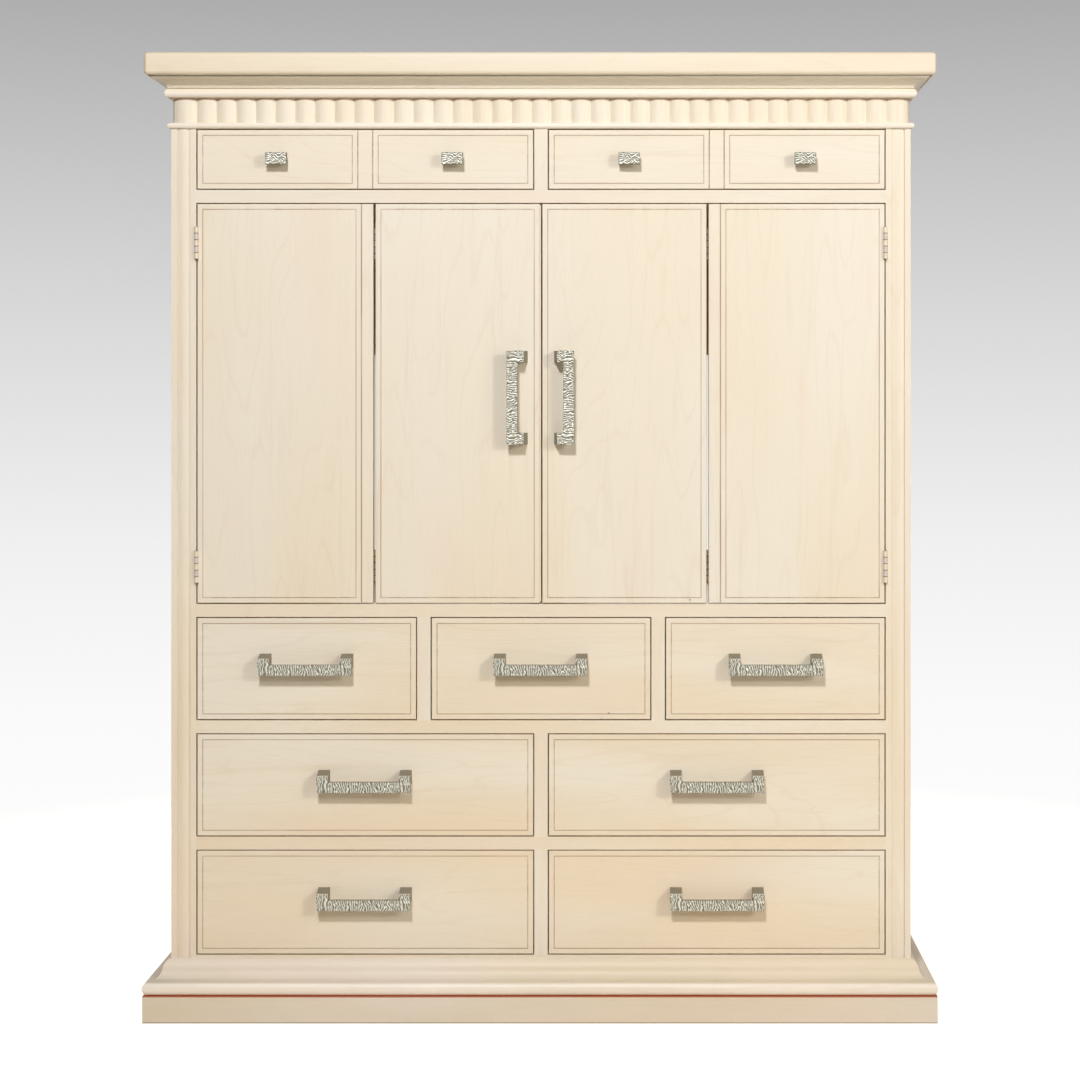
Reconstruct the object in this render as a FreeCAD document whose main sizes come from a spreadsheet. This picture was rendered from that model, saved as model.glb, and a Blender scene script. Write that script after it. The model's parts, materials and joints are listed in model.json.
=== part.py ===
import FreeCAD, Part
import math
import os
import re

import Sketcher
from FreeCAD import Placement, Rotation, Vector

# TV armoire of pickled wood: two wide top drawers, a television bay behind two
# pairs of folding doors, seven drawers below, a reeded frieze under a moulded
# cornice, and a moulded base on a plinth.
#
# Frame: x to the right, y to the back, z up, in millimetres. The origin is the
# middle of the footprint, on the floor. The front faces -y.

# ---------------------------------------------------------------- driving sizes

SIZES = {
    # Case
    "case_width": 1465,
    "case_depth": 562,
    "board": 19,
    "stile_width": 49.5,
    "rail_height": 25.5,
    "mullion_width": 26.5,
    "back_thickness": 8,
    # Heights of the rows, from the floor up
    "plinth_height": 53,
    "base_height": 64.5,
    "bottom_reveal": 5,
    "bottom_drawer_height": 208.5,
    "drawer_height": 205,
    "bay_height": 795,
    "top_drawer_height": 121,
    "astragal_height": 12,
    "frieze_height": 48,
    "crown_height": 41,
    "top_thickness": 45,
    # Plinth and base moulding
    "base_projection": 48,
    "plinth_setback": 1,
    "base_bead_height": 26.5,
    "base_bead_heel": 4,
    "base_foot_inset": 7,
    "base_ledge": 36,
    "ledge_width": 6,
    "ledge_fall": 1,
    "ogee_turn": 15,
    "ogee_turn_drop": 22,
    "ogee_top": 5,
    "ogee_top_drop": 2.5,
    "ogee_hollow": 2.6,
    "ogee_swell": 2.2,
    "shadow_gap": 3,
    # Pilasters
    "strip_width": 12,
    "quirk_depth": 2.5,
    # Astragal, frieze, crown and top
    "astragal_projection": 6.5,
    "astragal_edge": 1.5,
    "frieze_thickness": 22,
    "frieze_recess": 6,
    "reed_count": 35,
    "side_reed_count": 13,
    "reed_rise": 7,
    "reed_quirk": 1.4,
    "crown_projection": 33,
    "crown_bead_height": 19.5,
    "crown_bead_projection": 11,
    "crown_bead_root": 3,
    "crown_step": 7,
    "crown_fillet_height": 5.5,
    "cove_setback": 6,
    "cove_sag": 4.5,
    "top_projection": 45.5,
    "top_round": 8,
    # Television opening in the back
    "cutout_width": 900,
    "cutout_post": 120,
    "cutout_height": 460,
    "cutout_sill": 45,
    "cutout_round": 30,
    # Fronts and doors
    "front_thickness": 20,
    "front_gap": 2,
    "front_bevel": 1.2,
    "bead_inset": 10,
    "bead_groove": 1.8,
    "bead_depth": 1.2,
    "false_mullion": 29.5,
    "false_groove": 2.4,
    "outer_leaf_width": 349,
    "fold_strip": 23.5,
    "hinge_gap": 2,
    "fold_gap": 4,
    "center_gap": 5,
    # Drawer boxes and their guides
    "box_depth": 500,
    "box_wall": 12,
    "box_bottom": 6,
    "bottom_raise": 12,
    "box_side_clearance": 6,
    "box_headroom": 24,
    "run_clearance": 0.4,
    "guide_width": 22,
    "guide_height": 9,
    "guide_clearance": 0.6,
    "guide_strip": 12,
    "guide_setback": 3,
    # Butt hinges
    "hinge_length": 64,
    "hinge_top_inset": 80,
    "hinge_bottom_inset": 74,
    "barrel_radius": 4,
    "barrel_clearance": 0.3,
    "plate_thickness": 1.5,
    "plate_width": 15,
    "plate_fit": 0.2,
    "knuckle_gap": 0.3,
    "pin_radius": 2,
    "pin_clearance": 0.05,
    # Pulls and knobs
    "pull_length": 185,
    "pull_bar": 21.5,
    "pull_thickness": 9,
    "pull_standoff": 33,
    "pull_arm_width": 23,
    "pull_arm_rise": 12,
    "pull_leg_height": 20,
    "pull_leg_slope": 7,
    "pull_bevel": 1.5,
    "door_pull_offset": 56,
    "door_pull_rise": 11.5,
    "knob_width": 42,
    "knob_height": 23,
    "knob_thickness": 12,
    "knob_standoff": 26,
    "knob_stem": 13,
    "knob_bevel": 1.5,
    # Magnetic catches
    "catch_width": 46,
    "catch_height": 26,
    "catch_depth": 14,
    "catch_bevel": 3,
    "catch_offset": 45,
    "catch_clearance": 0.8,
    "strike_width": 40,
    "strike_height": 13,
    "strike_thickness": 1.2,
    "strike_bevel": 2,
    # How far a cut reaches past the faces that it opens
    "overshoot": 1,
    "strike_drop": 1,
}

# What follows from the driving sizes, written with their names.
DERIVED = {
    "half_width": "case_width / 2",
    "front": "(base_projection - case_depth) / 2",
    "back": "(base_projection + case_depth) / 2",
    "frame_thickness": "front_thickness + strike_thickness + catch_clearance",
    "frame_back": "front + frame_thickness",
    "inside_back": "back - back_thickness",
    "inside_half": "half_width - board",
    "opening_width": "case_width - 2 * stile_width",
    "opening_left": "0 - opening_width / 2",
    "bottom_row": "plinth_height + base_height + bottom_reveal",
    "middle_row": "bottom_row + bottom_drawer_height + rail_height",
    "upper_row": "middle_row + drawer_height + rail_height",
    "bay": "upper_row + drawer_height + rail_height",
    "top_row": "bay + bay_height + rail_height",
    "top_row_end": "top_row + top_drawer_height",
    "frieze_bottom": "top_row_end + astragal_height",
    "crown_bottom": "frieze_bottom + frieze_height",
    "top_bottom": "crown_bottom + crown_height",
    "pair_width": "(opening_width - mullion_width) / 2",
    "triple_width": "(opening_width - 2 * mullion_width) / 3",
    "inner_leaf_width": "opening_width / 2 - hinge_gap - outer_leaf_width - fold_gap - center_gap / 2",
    "leaf_height": "bay_height - 2 * front_gap",
    "barrel_offset": "barrel_radius + barrel_clearance",
    "case_axis": "opening_width / 2 - hinge_gap / 2",
    "fold_axis": "opening_width / 2 - hinge_gap - outer_leaf_width - fold_gap / 2",
    "fold_axis_depth": "front + front_thickness + barrel_offset",
    "lower_hinge": "bay + hinge_bottom_inset - hinge_length / 2",
    "upper_hinge": "bay + bay_height - hinge_top_inset - hinge_length / 2",
    "reed_pitch": "opening_width / reed_count",
    "side_reed_pitch": "(case_depth - stile_width) / side_reed_count",
    "frieze_inside": "frieze_recess + frieze_thickness",
}

doc = FreeCAD.newDocument("tv_armoire")
sheet = doc.addObject("Spreadsheet::Sheet", "Sheet")
for row, (alias, size) in enumerate(SIZES.items(), start=1):
    sheet.set("A%d" % row, alias)
    sheet.set("B%d" % row, str(size))
    sheet.setAlias("B%d" % row, alias)
doc.recompute()

nodes = {}
SOLVER_TRIES = 6


# ---------------------------------------------------------------- small helpers

def full(expression):
    # Spell an expression out in the sheet's own cells.
    def spell(word):
        name = word.group(0)
        if name in DERIVED:
            return "(" + full(DERIVED[name]) + ")"
        return "Sheet." + name if name in SIZES else name
    return re.sub(r"[A-Za-z_][A-Za-z_0-9]*", spell, expression)


def number(expression):
    return float(sheet.evalExpression(full(expression)))


def bind(item, prop, expression):
    item.setExpression(prop, full(expression))


def place(item, x, y, z):
    bind(item, "Placement.Base.x", x)
    bind(item, "Placement.Base.y", y)
    bind(item, "Placement.Base.z", z)


def new_body(name):
    return doc.addObject("PartDesign::Body", name)


def origin_feature(body, role):
    return next(item for item in body.Origin.OriginFeatures if item.Role == role)


def new_sketch(body, plane, offset=None):
    sketch = body.newObject("Sketcher::SketchObject", body.Name + "_sketch")
    sketch.AttachmentSupport = (origin_feature(body, plane), [""])
    sketch.MapMode = "FlatFace"
    if offset:
        bind(sketch, "AttachmentOffset.Base.z", offset)
    return sketch


def constrain(sketch, rules):
    # Each rule is a kind, its targets and, where it has a value, an expression.
    # They are added together, so that the sketch is solved once.
    exact = [rule for rule in rules if rule[0] == "Coincident"]
    sized = [rule for rule in rules if rule[0] != "Coincident"]
    sketch.addConstraint([Sketcher.Constraint(*rule) for rule in exact]
                         + [Sketcher.Constraint(*rule[:-1], number(rule[-1])) for rule in sized])
    first = sketch.ConstraintCount - len(sized)
    for i, rule in enumerate(sized):
        bind(sketch, "Constraints[%d]" % (first + i), rule[-1])


def arc_centre(begin, end, bend):
    # The centre of the arc between two points, as a pair of expressions. A bend
    # is ("rise", height, side of travel) or ("level", height of the centre).
    (u, v), (u2, v2) = begin, end
    if bend[0] == "level":
        level = bend[1]
        reach = "((%s)^2 + (%s - (%s))^2 - (%s)^2 - (%s - (%s))^2)" % (u2, v2, level, u, v, level)
        return "%s / (2 * ((%s) - (%s)))" % (reach, u2, u), level
    rise, side = bend[1], bend[2]
    chord = "sqrt(((%s) - (%s))^2 + ((%s) - (%s))^2)" % (u2, u, v2, v)
    back = "(%d * ((%s) / 2 - %s^2 / (8 * (%s))) / %s)" % (side, rise, chord, rise, chord)
    return ("((%s) + (%s)) / 2 - %s * ((%s) - (%s))" % (u, u2, back, v2, v),
            "((%s) + (%s)) / 2 + %s * ((%s) - (%s))" % (v, v2, back, u2, u))


def outline(sketch, points, bends=None):
    # A closed loop through points of two expressions each. bends turns the line
    # that leaves a point into an arc.
    bends = bends or {}
    base = sketch.GeometryCount
    corners = [Vector(number(u), number(v), 0) for u, v in points]
    count = len(corners)
    ends = []
    rules = []
    for i, begin in enumerate(corners):
        j = (i + 1) % count
        end = corners[j]
        if i in bends:
            u, v = arc_centre(points[i], points[j], bends[i])
            centre = Vector(number(u), number(v), 0)
            ring = Part.Circle(centre, Vector(0, 0, 1), (begin - centre).Length)
            turn = ring.parameter(begin), ring.parameter(end)
            # An arc is drawn anticlockwise, whichever way the loop runs.
            forward = (turn[1] - turn[0]) % (2 * math.pi) < math.pi
            sketch.addGeometry(Part.ArcOfCircle(ring, *(turn if forward else turn[::-1])), False)
            across = abs(end.x - begin.x) > abs(end.y - begin.y)
            rules.append(("DistanceY" if across else "DistanceX", -1, 1, base + i, 3, v if across else u))
            ends.append((1, 2) if forward else (2, 1))
        else:
            sketch.addGeometry(Part.LineSegment(begin, end), False)
            ends.append((1, 2))
    for i, (u, v) in enumerate(points):
        j = (i + 1) % count
        rules.append(("Coincident", base + i, ends[i][1], base + j, ends[j][0]))
        rules.append(("DistanceX", -1, 1, base + i, ends[i][0], u))
        rules.append(("DistanceY", -1, 1, base + i, ends[i][0], v))
    constrain(sketch, rules)


def rectangle(sketch, u0, u1, v0, v1):
    outline(sketch, [(u0, v0), (u1, v0), (u1, v1), (u0, v1)])


def circle(sketch, u, v, radius):
    centre = Vector(number(u), number(v), 0)
    index = sketch.addGeometry(Part.Circle(centre, Vector(0, 0, 1), number(radius)), False)
    constrain(sketch, [("DistanceX", -1, 1, index, 3, u),
                       ("DistanceY", -1, 1, index, 3, v),
                       ("Radius", index, radius)])


def volume(body):
    shape = body.Shape
    return 0.0 if shape.isNull() or not shape.isValid() else shape.Volume


def settle(body, feature, before, sign):
    # Recompute and make sure that the feature added (1) or removed (-1)
    # material. A sketch that the solver missed is solved again.
    for attempt in range(SOLVER_TRIES):
        doc.recompute()
        change = volume(body) - before
        missed = [item for item in body.Group if "Invalid" in item.State]
        if not missed and change * sign > 1e-6:
            return feature
        for item in body.Group:
            item.touch()
    raise RuntimeError(feature.Label + " changes nothing")


def pad(body, sketch, length, reverse=False):
    before = volume(body)
    feature = body.newObject("PartDesign::Pad", body.Name + "_pad")
    feature.Profile = sketch
    feature.Reversed = reverse
    bind(feature, "Length", length)
    return settle(body, feature, before, 1)


def pocket(body, sketch, length=None, reverse=False):
    # With no length the pocket goes right through.
    before = volume(body)
    feature = body.newObject("PartDesign::Pocket", body.Name + "_pocket")
    feature.Profile = sketch
    feature.Reversed = reverse
    if length:
        bind(feature, "Length", length)
    else:
        feature.Type = "ThroughAll"
    return settle(body, feature, before, -1)


def repeat(body, feature, axis, length, count):
    before = volume(body)
    pattern = body.newObject("PartDesign::LinearPattern", body.Name + "_pattern")
    pattern.Originals = [feature]
    pattern.Direction = (origin_feature(body, axis), [""])
    bind(pattern, "Length", length)
    bind(pattern, "Occurrences", count)
    body.Tip = pattern
    return settle(body, pattern, before, 1)


def edges_where(feature, test):
    shape = feature.Shape
    return ["Edge%d" % (i + 1) for i, edge in enumerate(shape.Edges) if test(edge)]


def round_edges(body, feature, radius, test, sign=-1):
    # Outer edges lose material (-1), the corners of a hole gain some (1).
    before = volume(body)
    fillet = body.newObject("PartDesign::Fillet", body.Name + "_fillet")
    fillet.Base = (feature, edges_where(feature, test))
    bind(fillet, "Radius", radius)
    return settle(body, fillet, before, sign)


def bevel_edges(body, feature, width, test):
    before = volume(body)
    chamfer = body.newObject("PartDesign::Chamfer", body.Name + "_chamfer")
    chamfer.Base = (feature, edges_where(feature, test))
    bind(chamfer, "Size", width)
    return settle(body, chamfer, before, -1)


def at_y(level):
    # Edges that lie in the plane y = level of their own body.
    return lambda edge: all(abs(vertex.Y - level) < 1e-4 for vertex in edge.Vertexes)


def along(axis):
    # Straight edges that run along one axis.
    return lambda edge: len(edge.Vertexes) == 2 and abs(
        abs((edge.Vertexes[1].Point - edge.Vertexes[0].Point).normalize().dot(axis)) - 1) < 1e-6


def board(name, x0, x1, y0, y1, z0, z1):
    box = doc.addObject("Part::Box", name)
    bind(box, "Length", "(%s) - (%s)" % (x1, x0))
    bind(box, "Width", "(%s) - (%s)" % (y1, y0))
    bind(box, "Height", "(%s) - (%s)" % (z1, z0))
    place(box, x0, y0, z0)
    return box


def node(name, item):
    item.Label = name
    nodes[name] = item
    return item


def group(name, items):
    compound = doc.addObject("Part::Compound", name)
    compound.Links = items
    return node(name, compound)


# -------------------------------------------------------------- mitred mouldings

def moulding_length(name, points, bends, run, height, outer, inner, mitres):
    # One length of moulding along local x. The section is drawn with u to the
    # back and v up, so its face looks along local -y. The corners of the case
    # are where u = 0, and a mitred end is cut at 45 degrees through its corner.
    body = new_body(name)
    start = outer if mitres[0] else "0"
    end = "(%s) + (%s)" % (start, run)
    section = new_sketch(body, "YZ_Plane")
    outline(section, points, bends)
    pad(body, section, "(%s) + (%s)" % (end, outer if mitres[1] else "0"))
    cuts = new_sketch(body, "XY_Plane")
    if mitres[0]:
        outline(cuts, [("(%s) + (%s) + overshoot" % (start, inner), "(%s) + overshoot" % inner),
                       ("(%s) - (%s) - overshoot" % (start, outer), "0 - (%s) - overshoot" % outer),
                       ("(%s) - (%s) - overshoot" % (start, outer), "(%s) + overshoot" % inner)])
    if mitres[1]:
        outline(cuts, [("(%s) - (%s) - overshoot" % (end, inner), "(%s) + overshoot" % inner),
                       ("(%s) + (%s) + overshoot" % (end, outer), "(%s) + overshoot" % inner),
                       ("(%s) + (%s) + overshoot" % (end, outer), "0 - (%s) - overshoot" % outer)])
    pocket(body, cuts, length=height, reverse=True)
    return body


def seat_front(body, outer, z):
    place(body, "0 - half_width - (%s)" % outer, "front", z)
    return body


def seat_right(body, outer, z):
    body.Placement = Placement(Vector(), Rotation(Vector(0, 0, 1), 90))
    place(body, "half_width", "front - (%s)" % outer, z)
    return body


def seat_left(body, z):
    body.Placement = Placement(Vector(), Rotation(Vector(0, 0, 1), -90))
    place(body, "0 - half_width", "back", z)
    return body


def moulding(name, points, bends, height, outer, inner, z):
    # Three lengths: across the front, and back along each side.
    shape = (height, outer, inner)
    across = moulding_length(name + "_front", points, bends, "case_width", *shape, (True, True))
    right = moulding_length(name + "_right_side", points, bends, "case_depth", *shape, (True, False))
    left = moulding_length(name + "_left_side", points, bends, "case_depth", *shape, (False, True))
    return [seat_front(across, outer, z), seat_right(right, outer, z), seat_left(left, z)]


def add_reeds(body, first, pitch, count, corner_reeds):
    # Convex reeds that stand on the face of a frieze board. Each is a shallow
    # arc in plan, and a narrow quirk of the face shows between two of them.
    def reed(sketch, begin, end):
        root = "frieze_recess + reed_quirk / 2"
        outline(sketch, [(begin, "frieze_recess"), (end, "frieze_recess"), (end, root), (begin, root)],
                {0: ("rise", "reed_rise", -1)})

    plan = new_sketch(body, "XY_Plane")
    reed(plan, "(%s) + reed_quirk / 2" % first, "(%s) + (%s) - reed_quirk / 2" % (first, pitch))
    one = pad(body, plan, "frieze_height")
    repeat(body, one, "X_Axis", "(%s) * (%s - 1)" % (pitch, count), count)
    for begin, end in corner_reeds:
        wide = new_sketch(body, "XY_Plane")
        reed(wide, begin, end)
        pad(body, wide, "frieze_height")


def reeded_frieze():
    section = [("frieze_recess", "0"), ("frieze_inside", "0"),
               ("frieze_inside", "frieze_height"), ("frieze_recess", "frieze_height")]
    boards = moulding("frieze", section, {}, "frieze_height", "0", "frieze_inside", "frieze_bottom")
    quirk = "reed_quirk / 2"
    near = ("frieze_recess + " + quirk, "stile_width - " + quirk)
    far = ("case_width - stile_width + " + quirk, "case_width - frieze_recess - " + quirk)
    add_reeds(boards[0], "stile_width", "reed_pitch", "reed_count", [near, far])
    add_reeds(boards[1], "stile_width", "side_reed_pitch", "side_reed_count", [near])
    back_end = ("case_depth - stile_width + " + quirk, "case_depth - frieze_recess - " + quirk)
    add_reeds(boards[2], "0", "side_reed_pitch", "side_reed_count", [back_end])
    boards.append(board("frieze_back", "frieze_inside - half_width", "half_width - frieze_inside",
                        "back - board", "back", "frieze_bottom", "top_bottom"))
    return group("reeded_frieze", boards)


def cornice_moulding():
    # From the bottom: a bead, a small step, a cove and a fillet under the top.
    cove_top = "crown_height - crown_fillet_height"
    middle = "crown_bead_height / 2"
    points = [("frieze_inside", "0"),
              ("0 - crown_bead_root", "0"),
              ("0 - crown_bead_projection", middle),
              ("0 - crown_bead_root", "crown_bead_height"),
              ("0 - crown_step", "crown_bead_height"),
              ("cove_setback - crown_projection", cove_top),
              ("0 - crown_projection", cove_top),
              ("0 - crown_projection", "crown_height"),
              ("frieze_inside", "crown_height")]
    bends = {1: ("level", middle), 2: ("level", middle), 4: ("rise", "cove_sag", -1)}
    lengths = moulding("cornice", points, bends,
                       "crown_height", "crown_projection", "frieze_inside", "crown_bottom")
    return group("cornice_moulding", lengths)


def astragal_moulding():
    # A half-round strip that covers the joint under the frieze.
    middle = "astragal_height / 2"
    points = [("0", "0"), ("0 - astragal_edge", "0"), ("0 - astragal_projection", middle),
              ("0 - astragal_edge", "astragal_height"), ("0", "astragal_height")]
    bends = {1: ("level", middle), 2: ("level", middle)}
    lengths = moulding("astragal", points, bends,
                       "astragal_height", "astragal_projection", "0", "top_row_end")
    return group("astragal_moulding", lengths)


def base_moulding():
    # From the bottom: a shadow gap, a large bead, a ledge, an ogee and a small
    # sloped ledge against the case.
    bead_middle = "(base_bead_height + shadow_gap) / 2"
    points = [("0", "0"),
              ("base_foot_inset - base_projection", "0"),
              ("base_bead_heel - base_projection", "shadow_gap"),
              ("0 - base_projection", bead_middle),
              ("0 - base_ledge", "base_bead_height"),
              ("ledge_width - base_ledge", "base_bead_height + ledge_fall"),
              ("0 - ogee_turn", "base_height - ogee_turn_drop"),
              ("0 - ogee_top", "base_height - ogee_top_drop"),
              ("0", "base_height")]
    bends = {2: ("level", bead_middle),
             3: ("level", bead_middle),
             5: ("rise", "ogee_hollow", -1),
             6: ("rise", "ogee_swell", 1)}
    lengths = moulding("base", points, bends, "base_height", "base_projection", "0", "plinth_height")
    return group("base_moulding", lengths)


def plinth():
    # A mitred frame under the base moulding, with bearers under the case.
    face = "plinth_setback - base_projection"
    points = [("%s + board" % face, "0"), (face, "0"),
              (face, "plinth_height"), ("%s + board" % face, "plinth_height")]
    items = moulding("plinth", points, {}, "plinth_height", "base_projection", "0", "0")
    behind = "front + %s + board" % face
    inner_face = "(half_width - (%s) - board)" % face
    items.append(board("plinth_back", "0 - " + inner_face, inner_face,
                       "back - board", "back", "0", "plinth_height"))
    bearers = [("left", "0 - half_width", "board - half_width"),
               ("middle", "0 - board / 2", "board / 2"),
               ("right", "half_width - board", "half_width")]
    for name, x0, x1 in bearers:
        items.append(board("plinth_bearer_" + name, x0, x1, behind, "back - board", "0", "plinth_height"))
    return group("plinth", items)


def top_board():
    body = new_body("top")
    plan = new_sketch(body, "XY_Plane")
    rectangle(plan, "0 - half_width - top_projection", "half_width + top_projection",
              "front - top_projection", "back")
    slab = pad(body, plan, "top_thickness")
    rear = number("back")

    def shows(edge):
        # The rear arrises stay square against the wall.
        return any(vertex.Y < rear - 1 for vertex in edge.Vertexes)

    round_edges(body, slab, "top_round", shows)
    place(body, "0", "0", "top_bottom")
    return node("top_board", body)


# ---------------------------------------------------------------------- carcass

def mortise(body, x0, x1, depth_start, depth, sill):
    # Shallow housings for two hinge plates, cut from y = depth_start backwards.
    # sill is the height of the bay's lower edge in the body's own frame.
    sketch = new_sketch(body, "XZ_Plane", offset="0 - (%s)" % depth_start)
    for centre in ("hinge_bottom_inset", "bay_height - hinge_top_inset"):
        rectangle(sketch, x0, x1,
                  "%s + %s - hinge_length / 2 - plate_fit" % (sill, centre),
                  "%s + %s + hinge_length / 2 + plate_fit" % (sill, centre))
    pocket(body, sketch, length=depth)


def pilaster(name, x, hinge_side):
    # A stile with a wide flat reed between two strips.
    body = new_body(name)
    plan = new_sketch(body, "XY_Plane")
    far_strip = "stile_width - strip_width"
    outline(plan,
            [("0", "0"), ("strip_width", "0"), ("strip_width", "quirk_depth"),
             (far_strip, "quirk_depth"), (far_strip, "0"), ("stile_width", "0"),
             ("stile_width", "frame_thickness"), ("0", "frame_thickness")],
            {2: ("rise", "quirk_depth", -1)})
    pad(body, plan, "frieze_bottom - plinth_height")
    edges = {"left": ("0 - overshoot", "plate_thickness"),
             "right": ("stile_width - plate_thickness", "stile_width + overshoot")}
    mortise(body, *edges[hinge_side],
            "0 - overshoot", "overshoot + plate_width + plate_fit", "bay - plinth_height")
    place(body, x, "front", "plinth_height")
    return node(name, body)


def face_frame():
    right = "opening_width / 2"
    rails = [("bottom", "plinth_height", "bottom_row"),
             ("lower", "middle_row - rail_height", "middle_row"),
             ("middle", "upper_row - rail_height", "upper_row"),
             ("bay", "bay - rail_height", "bay"),
             ("upper", "top_row - rail_height", "top_row"),
             ("top", "top_row_end", "frieze_bottom")]
    items = [board("rail_" + name, "opening_left", right, "front", "frame_back", z0, z1)
             for name, z0, z1 in rails]
    after_one = "opening_left + pair_width"
    after_triple = "opening_left + triple_width"
    after_second = after_triple + " + mullion_width + triple_width"
    mullions = [("lower", after_one, "bottom_row", "bottom_drawer_height"),
                ("middle", after_one, "middle_row", "drawer_height"),
                ("upper_left", after_triple, "upper_row", "drawer_height"),
                ("upper_right", after_second, "upper_row", "drawer_height"),
                ("top", after_one, "top_row", "top_drawer_height")]
    for name, x, z, height in mullions:
        items.append(board("mullion_" + name, x, x + " + mullion_width", "front", "frame_back",
                           z, "%s + %s" % (z, height)))
    return group("face_frame", items)


def shelf(name, top):
    return board(name, "0 - inside_half", "inside_half", "frame_back", "inside_back", top + " - board", top)


def back_panel():
    body = new_body("back")
    face = new_sketch(body, "XZ_Plane")
    rectangle(face, "0 - inside_half", "inside_half", "0", "frieze_bottom - plinth_height")
    pad(body, face, "back_thickness", reverse=True)
    hole = new_sketch(body, "XZ_Plane")
    sill = "bay - plinth_height + cutout_sill"
    outer, inner = "cutout_width / 2", "cutout_post / 2"
    for x0, x1 in (("0 - " + outer, "0 - " + inner), (inner, outer)):
        rectangle(hole, x0, x1, sill, sill + " + cutout_height")
    opening = pocket(body, hole)
    edges_at = (number(outer), number(inner))

    def corner(edge):
        place_x = abs(edge.CenterOfMass.x)
        return along(Vector(0, 1, 0))(edge) and any(abs(place_x - at) < 1e-4 for at in edges_at)

    round_edges(body, opening, "cutout_round", corner, 1)
    place(body, "0", "inside_back", "plinth_height")
    return node("back_panel", body)


# ------------------------------------------------------------- drawers and doors

def panelled_front(name, width, height, panels, false_grooves):
    # A flat front with a scored bead round each panel. The local origin is its
    # lower left front corner.
    body = new_body(name)
    face = new_sketch(body, "XZ_Plane")
    rectangle(face, "0", width, "0", height)
    slab = pad(body, face, "front_thickness", reverse=True)
    bevel_edges(body, slab, "front_bevel", at_y(0))
    beads = new_sketch(body, "XZ_Plane")
    for x0, x1 in panels:
        for inset in ("bead_inset", "bead_inset + bead_groove"):
            rectangle(beads, "%s + %s" % (x0, inset), "%s - (%s)" % (x1, inset),
                      inset, "%s - (%s)" % (height, inset))
    pocket(body, beads, length="bead_depth")
    if false_grooves:
        lines = new_sketch(body, "XZ_Plane")
        for x in false_grooves:
            rectangle(lines, "%s - false_groove / 2" % x, "%s + false_groove / 2" % x,
                      "0 - overshoot", "%s + overshoot" % height)
        pocket(body, lines, length="false_groove")
    return body


def drawer_box(name, width, height):
    # Sides, back and inner front of a box, its raised bottom, and two strips
    # under it that ride on both sides of the guide rail.
    body = new_body(name)
    plan = new_sketch(body, "XY_Plane")
    rectangle(plan, "0", width, "0", "box_depth")
    pad(body, plan, height)
    inside = new_sketch(body, "XY_Plane", offset=height)
    rectangle(inside, "box_wall", "%s - box_wall" % width, "box_wall", "box_depth - box_wall")
    pocket(body, inside, length="%s - bottom_raise - box_bottom" % height)
    under = new_sketch(body, "XY_Plane")
    rectangle(under, "box_wall", "%s - box_wall" % width, "box_wall", "box_depth + overshoot")
    pocket(body, under, length="bottom_raise", reverse=True)
    strips = new_sketch(body, "XY_Plane", offset="guide_clearance")
    inner = "(%s) / 2 - guide_width / 2 - guide_clearance" % width
    rectangle(strips, inner + " - guide_strip", inner, "box_wall", "box_depth")
    outer = "(%s) / 2 + guide_width / 2 + guide_clearance" % width
    rectangle(strips, outer, outer + " + guide_strip", "box_wall", "box_depth")
    pad(body, strips, "bottom_raise - guide_clearance")
    return body


def pull(name):
    # A cast bracket: a flat bar with two upright arms, each on a sloped leg. The
    # local origin is on the front that it is fixed to, behind the bar's middle.
    body = new_body(name)
    half = "pull_length / 2"
    inner = half + " - pull_arm_width"
    bar = "pull_bar / 2"
    top = bar + " + pull_arm_rise"
    plate_back = "pull_standoff - pull_thickness"
    face = new_sketch(body, "XZ_Plane", offset=plate_back)
    outline(face, [("0 - " + half, "0 - " + bar), (half, "0 - " + bar),
                   (half, top), (inner, top), (inner, bar),
                   ("0 - (%s)" % inner, bar), ("0 - (%s)" % inner, top), ("0 - " + half, top)])
    plate = pad(body, face, "pull_thickness")
    bevel_edges(body, plate, "pull_bevel", at_y(-number("pull_standoff")))
    foot = top + " - pull_leg_height"
    for start in ("0 - " + half, inner):
        # The leg's shape from the side: its top rises towards the front it stands on.
        side = new_sketch(body, "YZ_Plane", offset=start)
        outline(side, [("0", foot), ("0", "%s + pull_leg_slope" % top),
                       ("0 - (%s)" % plate_back, top), ("0 - (%s)" % plate_back, foot)])
        pad(body, side, "pull_arm_width")
    return body


def knob(name):
    # A small block on a square stem.
    body = new_body(name)
    root = new_sketch(body, "XZ_Plane")
    rectangle(root, "0 - knob_stem / 2", "knob_stem / 2", "0 - knob_stem / 2", "knob_stem / 2")
    pad(body, root, "knob_standoff - knob_thickness")
    face = new_sketch(body, "XZ_Plane", offset="knob_standoff - knob_thickness")
    rectangle(face, "0 - knob_width / 2", "knob_width / 2", "0 - knob_height / 2", "knob_height / 2")
    block = pad(body, face, "knob_thickness")
    bevel_edges(body, block, "knob_bevel", at_y(-number("knob_standoff")))
    return body


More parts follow.
